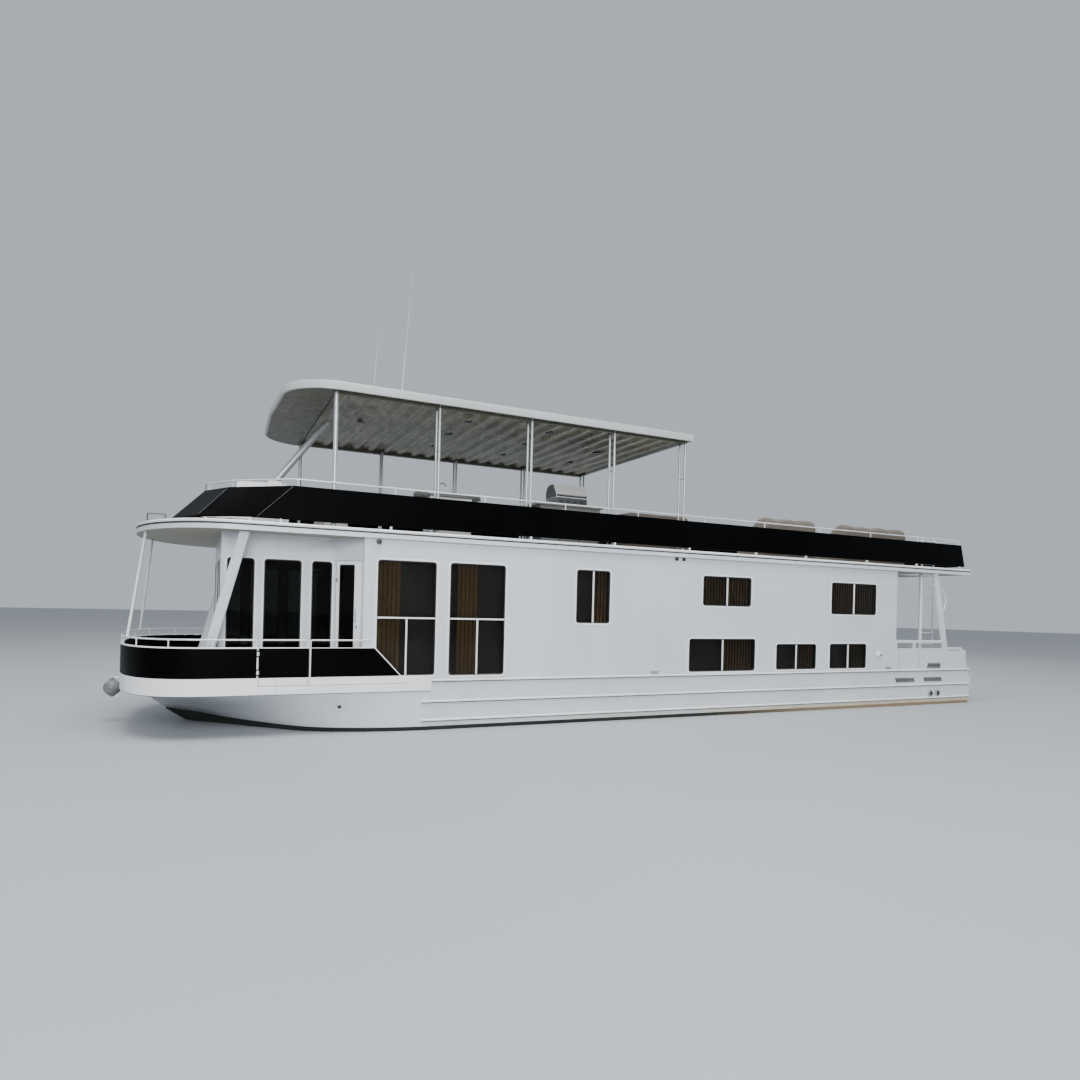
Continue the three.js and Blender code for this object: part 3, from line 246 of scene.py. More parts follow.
# Finishes: slot, base colour, tone colour, roughness span, then the effects each one has.
# grain, ripple and weave: scale, depth. rain: spacing, amount, dirt. wear: radius, amount, bare colour.
# stain: cream, brown, where it is thin, where it is thick, least share
looks = {
    "hullPaint": ("white_paint", (0.60, 0.635, 0.665), (0.545, 0.58, 0.61), (0.24, 0.40), dict(
        coat=0.3, rain=(5, 0.35, (0.47, 0.45, 0.38)), grain=(160, 0.0006), ripple=(1.3, 0.010), dust=0.25,
        wear=(0.010, 0.5, (0.42, 0.41, 0.38)),
        stain=((0.56, 0.47, 0.29), (0.24, 0.15, 0.07), 4.0, -9.0, 0.15))),
    "cabinPaint": ("white_paint", (0.60, 0.635, 0.67), (0.555, 0.59, 0.625), (0.26, 0.42), dict(
        coat=0.25, rain=(4, 0.22, (0.45, 0.44, 0.40)), grain=(160, 0.0005), ripple=(0.9, 0.014), dust=0.2,
        wear=(0.010, 0.4, (0.45, 0.44, 0.42)))),
    "trimWhite": ("white_paint", (0.80, 0.81, 0.82), (0.74, 0.75, 0.76), (0.22, 0.36), dict(
        coat=0.2, grain=(220, 0.0004), wear=(0.006, 0.4, (0.50, 0.49, 0.46)),
        rain=(9, 0.2, (0.5, 0.49, 0.44)))),
    "deckGrip": ("white_paint", (0.60, 0.61, 0.60), (0.52, 0.52, 0.50), (0.62, 0.85), dict(
        grain=(260, 0.003), dust=0.6, wear=(0.01, 0.4, (0.42, 0.41, 0.38)))),
    "blackPanel": ("black_paint", (0.0006, 0.0007, 0.0008), (0.0012, 0.0013, 0.0016), (0.32, 0.50), dict(
        specular=0.03, grain=(300, 0.0006), ripple=(1.6, 0.008), dust=0.004,
        rain=(6, 0.05, (0.008, 0.008, 0.008)), wear=(0.008, 0.3, (0.04, 0.04, 0.045)))),
    "bottomPaint": ("bottom_paint", (0.006, 0.007, 0.008), (0.016, 0.018, 0.016), (0.55, 0.85), dict(
        grain=(90, 0.003), ripple=(2.5, 0.012), rain=(3, 0.4, (0.03, 0.035, 0.022)),
        wear=(0.015, 0.4, (0.10, 0.07, 0.05)),
        stain=((0.43, 0.36, 0.22), (0.20, 0.13, 0.07), -1.0, -7.0, 0.0))),
    "canopyShell": ("canopy_grey", (0.42, 0.45, 0.435), (0.37, 0.395, 0.38), (0.32, 0.5), dict(
        grain=(120, 0.0006), ripple=(1.2, 0.010), dust=0.4, rain=(7, 0.3, (0.34, 0.34, 0.31)),
        wear=(0.012, 0.4, (0.40, 0.40, 0.38)))),
    # Undersides of the hardtop (ceiling, nose lining, beams): darker, yellower copies of its grey shell,
    # painted shade
    "ceilingPanelPaintedShade": ("canopy_grey", (0.225, 0.208, 0.140), (0.115, 0.107, 0.075), (0.24, 0.42), dict(
        toneScale=1.2, grain=(30, 0.0004), ripple=(1.7, 0.045))),
    "noseLiningPaintedShade": ("canopy_grey", (0.105, 0.100, 0.074), (0.085, 0.081, 0.060), (0.34, 0.5), dict(
        toneScale=0.9, grain=(30, 0.0004), ripple=(1.2, 0.012))),
    # The roof deck's underside: a darker, yellower copy of the white paint, painted shade under the overhang
    "soffit": ("white_paint", (0.33, 0.32, 0.25), (0.28, 0.27, 0.21), (0.4, 0.6), dict(
        grain=(120, 0.0006), ripple=(1.0, 0.010))),
    "railPaint": ("rail_tube", (0.72, 0.73, 0.74), (0.62, 0.63, 0.64), (0.22, 0.38), dict(
        metal=0.15, grain=(300, 0.0003), rain=(12, 0.25, (0.44, 0.42, 0.36)),
        wear=(0.004, 0.4, (0.4, 0.4, 0.4)))),
    "postMetal": ("rail_tube", (0.47, 0.50, 0.49), (0.39, 0.415, 0.41), (0.24, 0.42), dict(
        metal=0.45, grain=(260, 0.0004), rain=(12, 0.25, (0.36, 0.35, 0.32)),
        wear=(0.004, 0.3, (0.7, 0.7, 0.7)))),
    "polished": ("stainless", (0.60, 0.61, 0.62), (0.50, 0.51, 0.52), (0.14, 0.32), dict(
        metal=1, grain=(500, 0.0003), dust=0.1, wear=(0.004, 0.4, (0.75, 0.75, 0.75)))),
    "brushedSteel": ("stainless", (0.50, 0.51, 0.51), (0.38, 0.39, 0.39), (0.26, 0.48), dict(
        metal=0.6, brushed=90, dust=0.15, rain=(10, 0.3, (0.25, 0.22, 0.18)),
        wear=(0.006, 0.4, (0.72, 0.72, 0.72)))),
    # The grill lid: a lighter, less metallic copy of the stainless, painted light on its upper slope
    "lidSteel": ("stainless", (0.80, 0.79, 0.76), (0.74, 0.73, 0.70), (0.28, 0.36), dict(
        metal=0.35, brushed=90, rain=(10, 0.06, (0.30, 0.26, 0.20)), wear=(0.006, 0.4, (0.72, 0.72, 0.72)))),
    "darkMetal": ("rail_tube", (0.11, 0.115, 0.12), (0.06, 0.065, 0.07), (0.3, 0.5), dict(
        metal=0.6, grain=(300, 0.0003), rain=(10, 0.2, (0.05, 0.05, 0.045)),
        wear=(0.004, 0.3, (0.4, 0.4, 0.4)))),
    "bronzeMetal": ("bronze", (0.42, 0.25, 0.11), (0.20, 0.22, 0.14), (0.28, 0.55), dict(
        metal=1, toneScale=6, grain=(90, 0.001), wear=(0.006, 0.7, (0.70, 0.46, 0.22)))),
    "enginePaint": ("engine_paint", (0.16, 0.19, 0.20), (0.11, 0.13, 0.14), (0.4, 0.62), dict(
        metal=0.2, grain=(120, 0.001), dust=0.5, wear=(0.01, 0.8, (0.36, 0.33, 0.30)))),
    # real seals, and also the dark strips under the fascia, the roof moulding and the rub rails, which are
    # painted shadow
    "rubberAndPaintedShadow": ("black_paint", (0.012, 0.012, 0.013), (0.025, 0.025, 0.025), (0.5, 0.72), dict(
        grain=(400, 0.0006), dust=0.25, wear=(0.004, 0.4, (0.07, 0.07, 0.07)))),
    # real dark plastic, and also the sheets behind the side windows, which are painted shade
    "darkPlasticAndPaintedShade": ("black_paint", (0.02, 0.021, 0.023), (0.035, 0.036, 0.038), (0.34, 0.5), dict(
        grain=(700, 0.0006), dust=0.15, wear=(0.003, 0.4, (0.12, 0.12, 0.12)))),
    "ventMesh": ("stainless", (0.15, 0.17, 0.16), (0.09, 0.10, 0.095), (0.4, 0.6), dict(
        metal=0.5, grain=(200, 0.001), wear=(0.004, 0.5, (0.5, 0.5, 0.5)))),
    "blindFabric": ("tinted_glass", (0.29, 0.180, 0.075), (0.18, 0.112, 0.047), (0.6, 0.85), dict(
        toneScale=9, weave=(1500, 0.0006))),
    "counterTop": ("counter", (0.17, 0.17, 0.16), (0.10, 0.10, 0.095), (0.16, 0.34), dict(
        toneScale=60, coat=0.4, grain=(220, 0.0004), dust=0.2, wear=(0.006, 0.3, (0.45, 0.45, 0.43)))),
    "tanFabric": ("tan_cover", (0.128, 0.107, 0.085), (0.088, 0.073, 0.058), (0.72, 0.95), dict(
        toneScale=1.6, weave=(1300, 0.0012), sheen=0.12, dust=0.25, rain=(3, 0.3, (0.17, 0.13, 0.10)))),
    "seatVinyl": ("seat_vinyl", (0.66, 0.63, 0.57), (0.58, 0.55, 0.49), (0.40, 0.6), dict(
        toneScale=3, grain=(330, 0.0016), dust=0.15, wear=(0.006, 0.3, (0.5, 0.47, 0.41)))),
    "fenderSkin": ("fender_rubber", (0.17, 0.175, 0.18), (0.11, 0.115, 0.115), (0.42, 0.62), dict(
        toneScale=8, grain=(200, 0.001), dust=0.3, wear=(0.01, 0.4, (0.4, 0.4, 0.4)))),
}
glassLooks = {
    # colour through the pane, roughness
    "tintedGlass": ((0.10, 0.105, 0.10), 0.02),
    "cabinGlass": ((0.46, 0.45, 0.40), 0.02),
    "clearLens": ((0.85, 0.85, 0.82), 0.12),
}
dustColour = (0.36, 0.34, 0.29)
materials = {}
slotOf = {name: look[0] for name, look in looks.items()}
slotOf.update({name: "tinted_glass" for name in glassLooks})


def newMaterial(name):
    made = bpy.data.materials.new(name)
    made.use_nodes = True
    materials[name] = made
    return made.node_tree, made.node_tree.nodes["Principled BSDF"].inputs


def bumpFrom(tree, height, distance, strength):
    return addNode(tree, "ShaderNodeBump", {"Height": height, "Distance": distance, "Strength": strength})[0]


# Cream scum just above the water, thin at one place along the boat and thick at another, with a brown foot
def waterStain(tree, colour, cream, brown, thinAt, thickAt, least):
    axes = split(tree, addNode(tree, "ShaderNodeTexCoord", {})["Object"])
    ragged = calc(tree, "MULTIPLY", cloud(tree, 2.2, 6, 0.6, (1, 1, 0.4)), -0.12)
    height = calc(tree, "ADD", axes["Z"], ragged)
    aft = rise(tree, axes["X"], thinAt, thickAt, least, 1.0)
    for tone, top, foot, share in ((cream, 0.15, 0.03, 0.9), (brown, 0.035, 0.0, 0.7)):
        band = calc(tree, "MULTIPLY", rise(tree, height, top, foot), aft)
        colour = blendColour(tree, colour, tone, calc(tree, "MULTIPLY", band, share))
    return colour


def makeFinish(name, base, tone, roughness, look):
    tree, shader = newMaterial(name)
    fine = 0.3 * look.get("grain", (60,))[0]
    spots = useEffect(tree, "patches", Scale=look.get("toneScale", 0.5), Fine_Scale=fine)
    colour = blendColour(tree, base, tone, spots["Broad"])
    heights = []
    if "grain" in look:
        heights.append((spots["Fine"], look["grain"][1]))
    if "ripple" in look:
        heights.append((useEffect(tree, "ripple", Scale=look["ripple"][0])["Height"], look["ripple"][1]))
    if "brushed" in look:
        drawn = cloud(tree, look["brushed"], 4, stretch=(0.05, 1, 4))
        colour = blendColour(tree, colour, tone, rise(tree, drawn, 0.4, 0.62))
        heights.append((drawn, 0.0004))
    if "weave" in look:
        threads = useEffect(tree, "weave", Threads=look["weave"][0])
        colour = blendColour(tree, tone, colour, threads["Shade"])
        heights.append((threads["Height"], look["weave"][1]))
    if "rain" in look:
        spacing, amount, dirt = look["rain"]
        marks = useEffect(tree, "rainMarks", Spacing=spacing, Amount=amount)["Mask"]
        colour = blendColour(tree, colour, dirt, marks)
    if "dust" in look:
        settled = useEffect(tree, "dust", Amount=look["dust"])["Mask"]
        colour = blendColour(tree, colour, dustColour, settled)
    if "stain" in look:
        colour = waterStain(tree, colour, *look["stain"])
    if "wear" in look:
        radius, amount, bare = look["wear"]
        worn = useEffect(tree, "edgeWear", Radius=radius, Amount=amount)["Mask"]
        colour = blendColour(tree, colour, bare, worn)
    feed(tree, colour, shader["Base Color"])
    feed(tree, rise(tree, spots["Fine"], 0.3, 0.7, *roughness), shader["Roughness"])
    plain = {"Metallic": look.get("metal", 0), "Specular IOR Level": look.get("specular", 0.5),
             "Coat Weight": look.get("coat", 0), "Coat Roughness": 0.12,
             "Sheen Weight": look.get("sheen", 0), "Sheen Roughness": 0.6}
    for socket, value in plain.items():
        shader[socket].default_value = value
    total = None
    for source, depth in heights:
        part = calc(tree, "MULTIPLY", source, depth)
        total = part if total is None else calc(tree, "ADD", total, part)
    feed(tree, bumpFrom(tree, total, 1.0, 0.8), shader["Normal"])


def makeGlass(name, tint, rough):
    tree, shader = newMaterial(name)
    smear = cloud(tree, 3, 5, stretch=(1, 1, 0.5))
    shader["Base Color"].default_value = (*tint, 1)
    feed(tree, rise(tree, smear, 0.4, 0.8, rough, rough + 0.06), shader["Roughness"])
    shader["Transmission Weight"].default_value = 1
    shader["IOR"].default_value = 1.22
    sag = useEffect(tree, "ripple", Scale=1.6)["Height"]
    feed(tree, bumpFrom(tree, sag, 0.006, 0.6), shader["Normal"])


for finishName, (_, *finishLook) in looks.items():
    makeFinish(finishName, *finishLook)
for finishName, glassLook in glassLooks.items():
    makeGlass(finishName, *glassLook)
print("finishes made:", len(materials))


# Floor at the waterline
def makeFloor():
    _, shader = newMaterial("studioFloor")
    shader["Base Color"].default_value = (*studio["floorColour"], 1)
    shader["Roughness"].default_value = studio["floorRough"]
    shape = bmesh.new()
    bmesh.ops.create_circle(shape, cap_ends=True, segments=64, radius=studio["floorRadius"])
    mesh = bpy.data.meshes.new("studioFloor")
    shape.to_mesh(mesh)
    mesh.materials.append(materials["studioFloor"])
    addObject("studioFloor", mesh)


makeFloor()


# Shape helpers: each adds closed geometry to a bmesh
def shapes(count):
    return [bmesh.new() for _ in range(count)]


def addPiece(name, shape, finish, body="boat", stands=(), bevel=0.0, steps=2, smooth=32):
    bmesh.ops.recalc_face_normals(shape, faces=shape.faces)
    mesh = bpy.data.meshes.new(name)
    shape.to_mesh(mesh)
    shape.free()
    mesh.materials.append(materials[finish])
    mesh.polygons.foreach_set("use_smooth", [True] * len(mesh.polygons))
    mesh.set_sharp_from_angle(angle=math.radians(smooth))
    piece = addObject(name, mesh)
    if bevel:
        soft = piece.modifiers.new("softEdge", "BEVEL")
        soft.width = bevel
        soft.segments = steps
        soft.limit_method = "ANGLE"
        soft.angle_limit = math.radians(30)
    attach(piece, body)
    if stands:
        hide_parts(*stands)
    return piece


# A CAD node's own form, with its flat faces cleaned and its edges softened; what is walked on, and what is
# seen from below, may have a finish of its own
def refine(node, finish, bevel, walked=None, under=None):
    source = nodes[node]
    shape = bmesh.new()
    shape.from_mesh(source.data)
    bmesh.ops.remove_doubles(shape, verts=shape.verts, dist=1e-5)
    bmesh.ops.dissolve_limit(shape, angle_limit=math.radians(0.4), verts=shape.verts, edges=shape.edges)
    faced = [(1, walked)] * bool(walked) + [(-1, under)] * bool(under)
    shape.normal_update()
    for slotNumber, (way, _) in enumerate(faced, 1):
        for face in shape.faces:
            if face.normal.z * way > 0.95 and face.calc_area() > 0.5:
                face.material_index = slotNumber
    piece = addPiece("dressed_" + node, shape, finish, source["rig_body"], (node,), bevel)
    for _, other in faced:
        piece.data.materials.append(materials[other])


def addBox(shape, low, high, turn=Matrix.Identity(4)):
    low, high = Vector(low), Vector(high)
    matrix = turn @ Matrix.Translation((low + high) / 2) @ Matrix.Diagonal((*(high - low), 1))
    bmesh.ops.create_cube(shape, size=1, matrix=matrix)


def bridge(shape, rings, closed=False):
    made = [[shape.verts.new(point) for point in ring] for ring in rings]
    for low, high in zip(made, made[1:] + made[:1] * closed):
        for i in range(len(low)):
            j = (i + 1) % len(low)
            shape.faces.new((low[i], low[j], high[j], high[i]))
    if not closed:
        shape.faces.new(made[0][::-1])
        shape.faces.new(made[-1])


def filleted(path, radius, closed, steps=5):
    count = len(path)
    points = []
    for i, corner in enumerate(path):
        if not closed and i in (0, count - 1):
            points.append(corner)
            continue
        before, after = path[i - 1] - corner, path[(i + 1) % count] - corner
        reach = min(radius, before.length * 0.49, after.length * 0.49)
        if reach < 1e-4 or before.angle(-after) < 0.02:
            points.append(corner)
            continue
        start, end = corner + before.normalized() * reach, corner + after.normalized() * reach
        for k in range(steps + 1):
            t = k / steps
            points.append(start * (1 - t) ** 2 + corner * 2 * t * (1 - t) + end * t ** 2)
    return points


def circle(centre, side, other, radius, count):
    turns = (2 * math.pi * k / count for k in range(count))
    return [centre + radius * (side * math.cos(turn) + other * math.sin(turn)) for turn in turns]


def addTube(shape, path, radius, bend=0.0, closed=False, sides=12):
    points = filleted([Vector(p) for p in path], bend, closed)
    count = len(points)
    runs = []
    for i in range(count):
        ahead = points[(i + 1) % count] - points[i] if closed or i < count - 1 else points[i] - points[i - 1]
        behind = points[i] - points[i - 1] if closed or i > 0 else ahead
        runs.append((ahead.normalized() + behind.normalized()).normalized())
    side = runs[0].orthogonal().normalized()
    rings = []
    for point, run in zip(points, runs):
        side = (side - run * side.dot(run)).normalized()
        rings.append(circle(point, side, run.cross(side), radius, sides))
    bridge(shape, rings, closed)


def addPost(shape, x, y, low, high, radius, sides=12):
    addTube(shape, [(x, y, low), (x, y, high)], radius, sides=sides)


# A turned form; its profile is a list of (distance along the axis, radius)
def addRound(shape, centre, axis, profile, sides=20):
    run = Vector(axis).normalized()
    side = run.orthogonal().normalized()
    bridge(shape, [circle(Vector(centre) + run * along, side, run.cross(side), max(radius, 1e-4), sides)
                   for along, radius in profile])


def flange(radius, thick, neckAt, neck):
    return [(0, radius), (thick, radius), (neckAt, neck)]


# Spans are (u0, u1, v0, v1) on a flat frame
def grown(span, by):
    return span[0] - by, span[1] + by, span[2] - by, span[3] + by


def corners(u0, u1, v0, v1):
    return [(u0, v0), (u1, v0), (u1, v1), (u0, v1)]


def roundedLoop(u0, u1, v0, v1, radius, steps=5):
    loop = []
    for cu, cv, start in ((u1 - radius, v0 + radius, -90), (u1 - radius, v1 - radius, 0),
                          (u0 + radius, v1 - radius, 90), (u0 + radius, v0 + radius, 180)):
        for k in range(steps + 1):
            turn = math.radians(start + 90 * k / steps)
            loop.append((cu + radius * math.cos(turn), cv + radius * math.sin(turn)))
    return loop


# Frames that carry a flat outline (u, v) to the boat, with its depth along the third value
def abeam(side):
    return lambda u, v, depth: Vector((u, side * depth, v))


def facingAhead(u, v, depth):
    return Vector((depth, u, v))


def onDeck(u, v, depth):
    return Vector((u, v, depth))


def turnedFrame(x, y, degrees, side=1):
    turn = math.radians(degrees)
    out = Vector((math.cos(turn), math.sin(turn), 0))
    along = Vector((out.y, -out.x, 0))

    def carry(u, v, depth):
        point = Vector((x, y, v)) + along * u + out * depth
        return Vector((point.x, side * point.y, point.z))
    return carry


def layered(carry, loops):
    return [[carry(u, v, depth) for u, v in loop] for loop, depth in loops]


def addSurround(shape, carry, span, radius, width, back, front, chamfer=0.004):
    outer = roundedLoop(*span, radius)
    softOuter = roundedLoop(*grown(span, -chamfer), max(radius - chamfer, 0.004))
    inner = roundedLoop(*grown(span, -width), max(radius - width, 0.008))
    softInner = roundedLoop(*grown(span, chamfer - width), max(radius - width + chamfer, 0.010))
    rings = [(outer, back), (outer, front - chamfer), (softOuter, front), (softInner, front),
             (inner, front - chamfer), (inner, back)]
    bridge(shape, layered(carry, rings), closed=True)


def addPane(shape, carry, span, radius, back, front):
    loop = roundedLoop(*span, radius)
    bridge(shape, layered(carry, [(loop, back), (loop, front)]))


def addBar(shape, carry, u0, u1, v0, v1, back, front, chamfer=0.004):
    wide, narrow = corners(u0, u1, v0, v1), corners(*grown((u0, u1, v0, v1), -chamfer))
    bridge(shape, layered(carry, [(wide, back), (wide, front - chamfer), (narrow, front)]))


# An outline with holes, thickened between two depths
def addPlate(shape, carry, outline, back, front, holes=()):
    loops = [outline, *holes]
    flat = [[Vector((u, v, 0)) for u, v in loop] for loop in loops]
    points = [p for loop in flat for p in loop]
    layers = [[shape.verts.new(carry(p.x, p.y, depth)) for p in points] for depth in (back, front)]
    for triangle in tessellate_polygon(flat):
        for layer in layers:
            shape.faces.new([layer[i] for i in triangle])
    start = 0
    for loop in loops:
        for i in range(len(loop)):
            a, b = start + i, start + (i + 1) % len(loop)
            shape.faces.new((layers[0][a], layers[0][b], layers[1][b], layers[1][a]))
        start += len(loop)


# Plans of the deck and roof, as on the CAD side: straight sides and a bowed front; power 2 is an ellipse
deckPlan = {"centre": 8.200, "reach": 1.560, "half": 2.440, "power": 2.9}
roofPlan = {"centre": 8.070, "reach": 1.510, "half": 2.440, "power": 2.0}


def bowLine(plan, x0, margin, steps=48):
    half, reach = plan["half"] - margin, plan["reach"] - margin
    ease = 2 / plan["power"]
    line = [(x0, -half)]
    for i in range(steps + 1):
        turn = -math.pi / 2 + math.pi * i / steps
        across = math.sin(turn)
        line.append((plan["centre"] + reach * max(0.0, math.cos(turn)) ** ease,
                     half * math.copysign(abs(across) ** ease, across)))
    return line + [(x0, half)]


def frontAt(plan, y, margin):
    inset = abs(y) / (plan["half"] - margin)
    return plan["centre"] + (plan["reach"] - margin) * (1 - inset ** plan["power"]) ** (1 / plan["power"])


# A profile of (out, up) carried along an open plan line at one height
def addMoulding(shape, line, z, profile):
    rings = []
    for i, (x, y) in enumerate(line):
        before, after = Vector(line[max(i - 1, 0)]), Vector(line[min(i + 1, len(line) - 1)])
        run = (after - before).normalized()
        rings.append([Vector((x + run.y * u, y - run.x * u, z + v)) for u, v in profile])
    bridge(shape, rings)


def lengthOf(line):
    return sum((b - a).length for a, b in zip(line, line[1:]))


# Points an even distance apart on an open line
def spaced(line, pitch):
    points = [Vector(p) for p in line]
    total = lengthOf(points)
    count = max(1, round(total / pitch))
    found, passed, i = [points[0]], 0.0, 0
    for k in range(1, count):
        goal = total * k / count
        while passed + (points[i + 1] - points[i]).length < goal:
            passed += (points[i + 1] - points[i]).length
            i += 1
        found.append(points[i].lerp(points[i + 1], (goal - passed) / (points[i + 1] - points[i]).length))
    return found + [points[-1]]


level = {
    "fascia": 0.700, "gateFoot": 0.840, "deck": 0.900, "toe": 0.970, "coaming": 1.420, "bulwark": 1.450,
    "bowRail": 1.580, "aftRail": 1.600, "roofUnder": 3.330, "roofTop": 3.480, "panelUnder": 3.540,
    "panelTop": 4.100, "upperRail": 4.210, "canopyUnder": 5.740, "canopyTop": 5.890,
}
deckSide, wallSide, hullSide = 2.440, 2.390, 2.4195   # faces of the fascia, the cabin wall and the hull
onRoof = level["roofTop"] + 0.001

# Hull and decks in their own CAD form, with soft edges
refined = {
    # node: finish, edge radius, finish of what is walked on, finish seen from below
    # a name with _ at its end is there on both sides
    "hull_topsides": ("hullPaint", 0.008, "deckGrip"),
    "hull_bottom": ("bottomPaint", 0.006),
    "bow_deck": ("trimWhite", 0.006, "deckGrip"),
    "bulwark_bow": ("blackPanel", 0.004),
    "pillar_": ("cabinPaint", 0.020),
    "cabin_wall_": ("cabinPaint", 0.006),
    "porch_wall_": ("cabinPaint", 0.004),
    "front_bulkhead": ("cabinPaint", 0.004),
    "aft_bulkhead": ("cabinPaint", 0.004),
    "stern_quarter_": ("cabinPaint", 0.005),
    "transom_gate": ("cabinPaint", 0.005),
    # the roof's underside takes a darker finish: painted shade under the overhang
    "roof_deck": ("cabinPaint", 0.012, "deckGrip", "soffit"),
    "helm_console": ("trimWhite", 0.030),
    "engine_": ("enginePaint", 0.020),
    "engine_hatch_": ("deckGrip", 0.004),
    "propeller_": ("bronzeMetal", 0.003),
    "rudder_": ("bronzeMetal", 0.004),
    "grill_island": ("counterTop", 0.008),
    # the lid's lighter steel is painted light on its top
    "grill_lid": ("lidSteel", 0.012),
}
for nodeName, settings in refined.items():
    for ending in (sides if nodeName.endswith("_") else [""]):
        refine(nodeName + ending, *settings)
print("plain nodes dressed")

# Windows: white trim, black seal, glass, muntins and blinds, and behind them dark sheets as painted shade of
# the unlit cabin
sideWindows = [
    # x0, x1, z0, z1, whether it has a transom, blinds from x to x
    (4.755, 5.810, 0.957, 2.970, True, (5.38, 5.79)),
    (3.430, 4.510, 0.950, 2.975, True, (3.95, 4.40)),
    (1.185, 1.950, 1.920, 2.970, False, (1.21, 1.56)),
    (-2.405, -1.085, 2.330, 2.975, False, (-2.38, -1.11)),
    (-2.550, -0.755, 0.930, 1.640, False, (-2.52, -1.66)),
    (-4.365, -3.150, 0.942, 1.530, False, (-4.34, -3.77)),
    (-5.990, -4.780, 0.941, 1.535, False, (-5.96, -5.40)),
    (-6.290, -4.800, 2.216, 2.970, False, (-6.26, -4.83)),
]
windowCorner = 0.060
# The trim's width and how proud it stands, the seal's width, back and front, the glass's inset, back, front
sideLight = {"trim": (0.030, 0.007), "seal": (0.022, -0.048, 0.003), "glass": (0.015, -0.028, -0.020)}
porchLight = {"trim": (0.028, 0.006), "seal": (0.020, -0.042, 0.002), "glass": (0.014, -0.034, -0.026)}
innerWindow = {
    "muntin": 0.014, "barBack": 2.3705, "transomAt": 1.970, "blindDepth": 2.300, "shadeSheets": (2.225, 2.235),
    "slatPitch": 0.078, "slatWidth": 0.086, "slatThick": 0.0024, "slatTurn": 28, "unevenTurn": 10,
}
porchWindows = {
    "x": [(7.730, 8.165), (6.980, 7.590), (6.470, 6.820)], "wall": 1.840,
    "y": [(0.070, 0.870), (1.020, 1.700), (-1.700, -1.020)], "front": 8.250, "z": (0.985, 2.920),
}


def addLight(trim, seal, glass, carry, span, face, style):
    grow, proud = style["trim"]
    addSurround(trim, carry, grown(span, grow), windowCorner + grow, grow + 0.004, face - 0.002, face + proud)
    width, back, front = style["seal"]
    addSurround(seal, carry, grown(span, -0.003), windowCorner, width, face + back, face + front)
    inset, back, front = style["glass"]
    addPane(glass, carry, grown(span, -inset), windowCorner - inset, face + back, face + front)


def addBlind(shape, side, x0, x1, z0, z1):
    style = innerWindow
    size = Vector((style["slatWidth"] / 2, style["slatThick"] / 2, 0))
    for i in range(max(1, int((x1 - x0) / style["slatPitch"]))):
        x = x0 + style["slatPitch"] * (i + 0.5)
        swing = math.radians(style["slatTurn"] * side + style["unevenTurn"] * noise.noise((x * 9, z0, side)))
        turn = Matrix.Translation((x, side * style["blindDepth"], 0)) @ Matrix.Rotation(swing, 4, "Z")
        addBox(shape, -size + up * z0, size + up * z1, turn)


def makeSideWindows(label, side):
    carry, half, barBack = abeam(side), innerWindow["muntin"], innerWindow["barBack"]
    trim, seal, glass, bars, blinds, shadeSheets = shapes(6)
    for x0, x1, z0, z1, tall, (blind0, blind1) in sideWindows:
        addLight(trim, seal, glass, carry, (x0, x1, z0, z1), wallSide, sideLight)
        middle = (x0 + x1) / 2
        top = innerWindow["transomAt"] if tall else z1 - 0.02
        addBar(bars, carry, middle - half, middle + half, z0 + 0.006, top, barBack, wallSide + 0.003)
        if tall:
            addBar(bars, carry, x0 + 0.006, x1 - 0.006, top - half, top + half, barBack, wallSide + 0.004)
        addBlind(blinds, side, blind0, blind1, z0 + 0.03, z1 - 0.02)
        # a dark sheet behind each window: painted shade standing for the cabin's unlit inside
        addBar(shadeSheets, carry, x0 - 0.10, x1 + 0.10, z0 - 0.05, z1 + 0.06, *innerWindow["shadeSheets"])
    addPiece("window_trim_" + label, trim, "trimWhite")
    addPiece("window_seals_" + label, seal, "rubberAndPaintedShadow")
    addPiece("window_glass_" + label, glass, "cabinGlass", stands=("glazing_" + label,))
    addPiece("window_painted_shade_" + label, shadeSheets, "darkPlasticAndPaintedShade")
    addPiece("window_bars_" + label, bars, "trimWhite")
    addPiece("window_blinds_" + label, blinds, "blindFabric")


def makePorchWindows():
    parts = shapes(3)
    style = porchWindows
    for side in sides.values():
        for x0, x1 in style["x"]:
            addLight(*parts, abeam(side), (x0, x1, *style["z"]), style["wall"], porchLight)
    for y0, y1 in style["y"]:
        addLight(*parts, facingAhead, (y0, y1, *style["z"]), style["front"], porchLight)
    trim, seal, glass = parts
    addPiece("porch_window_trim", trim, "trimWhite")
    addPiece("porch_window_seals", seal, "rubberAndPaintedShadow")
    addPiece("porch_window_glass", glass, "tintedGlass", stands=("porch_glazing",))


for sideName, sideSign in sides.items():
    makeSideWindows(sideName, sideSign)
makePorchWindows()
print("windows made")

# Doors: a leaf with a glass light, and its fittings
hinge = {
    "offset": 0.014, "radius": 0.008, "half": 0.030, "reach": 0.045, "plate": 0.026,
    "heights": (1.250, 2.600),
}
doorHeights = (0.930, 2.930)
slidingDoor = {
    # y and z of the leaf, how far its glass stands in on each side, depths, y, z and depths of its pull
    "leaf": (-0.940, 0.030, 0.9183, 2.9677), "frame": (0.130, 0.075, 0.110, 0.080),
    "depths": (8.145, 8.185, 8.152, 8.180, 8.162, 8.170),
    "pull": (-0.862, -0.838, 1.800, 2.050, 8.180, 8.193),
}
# half width, frame, where the handle stands, frame on the handle's side
cornerDoor = (0.250, 0.060, -0.180, 0.130)
sternDoor = (0.350, 0.090, -0.305, 0.090)


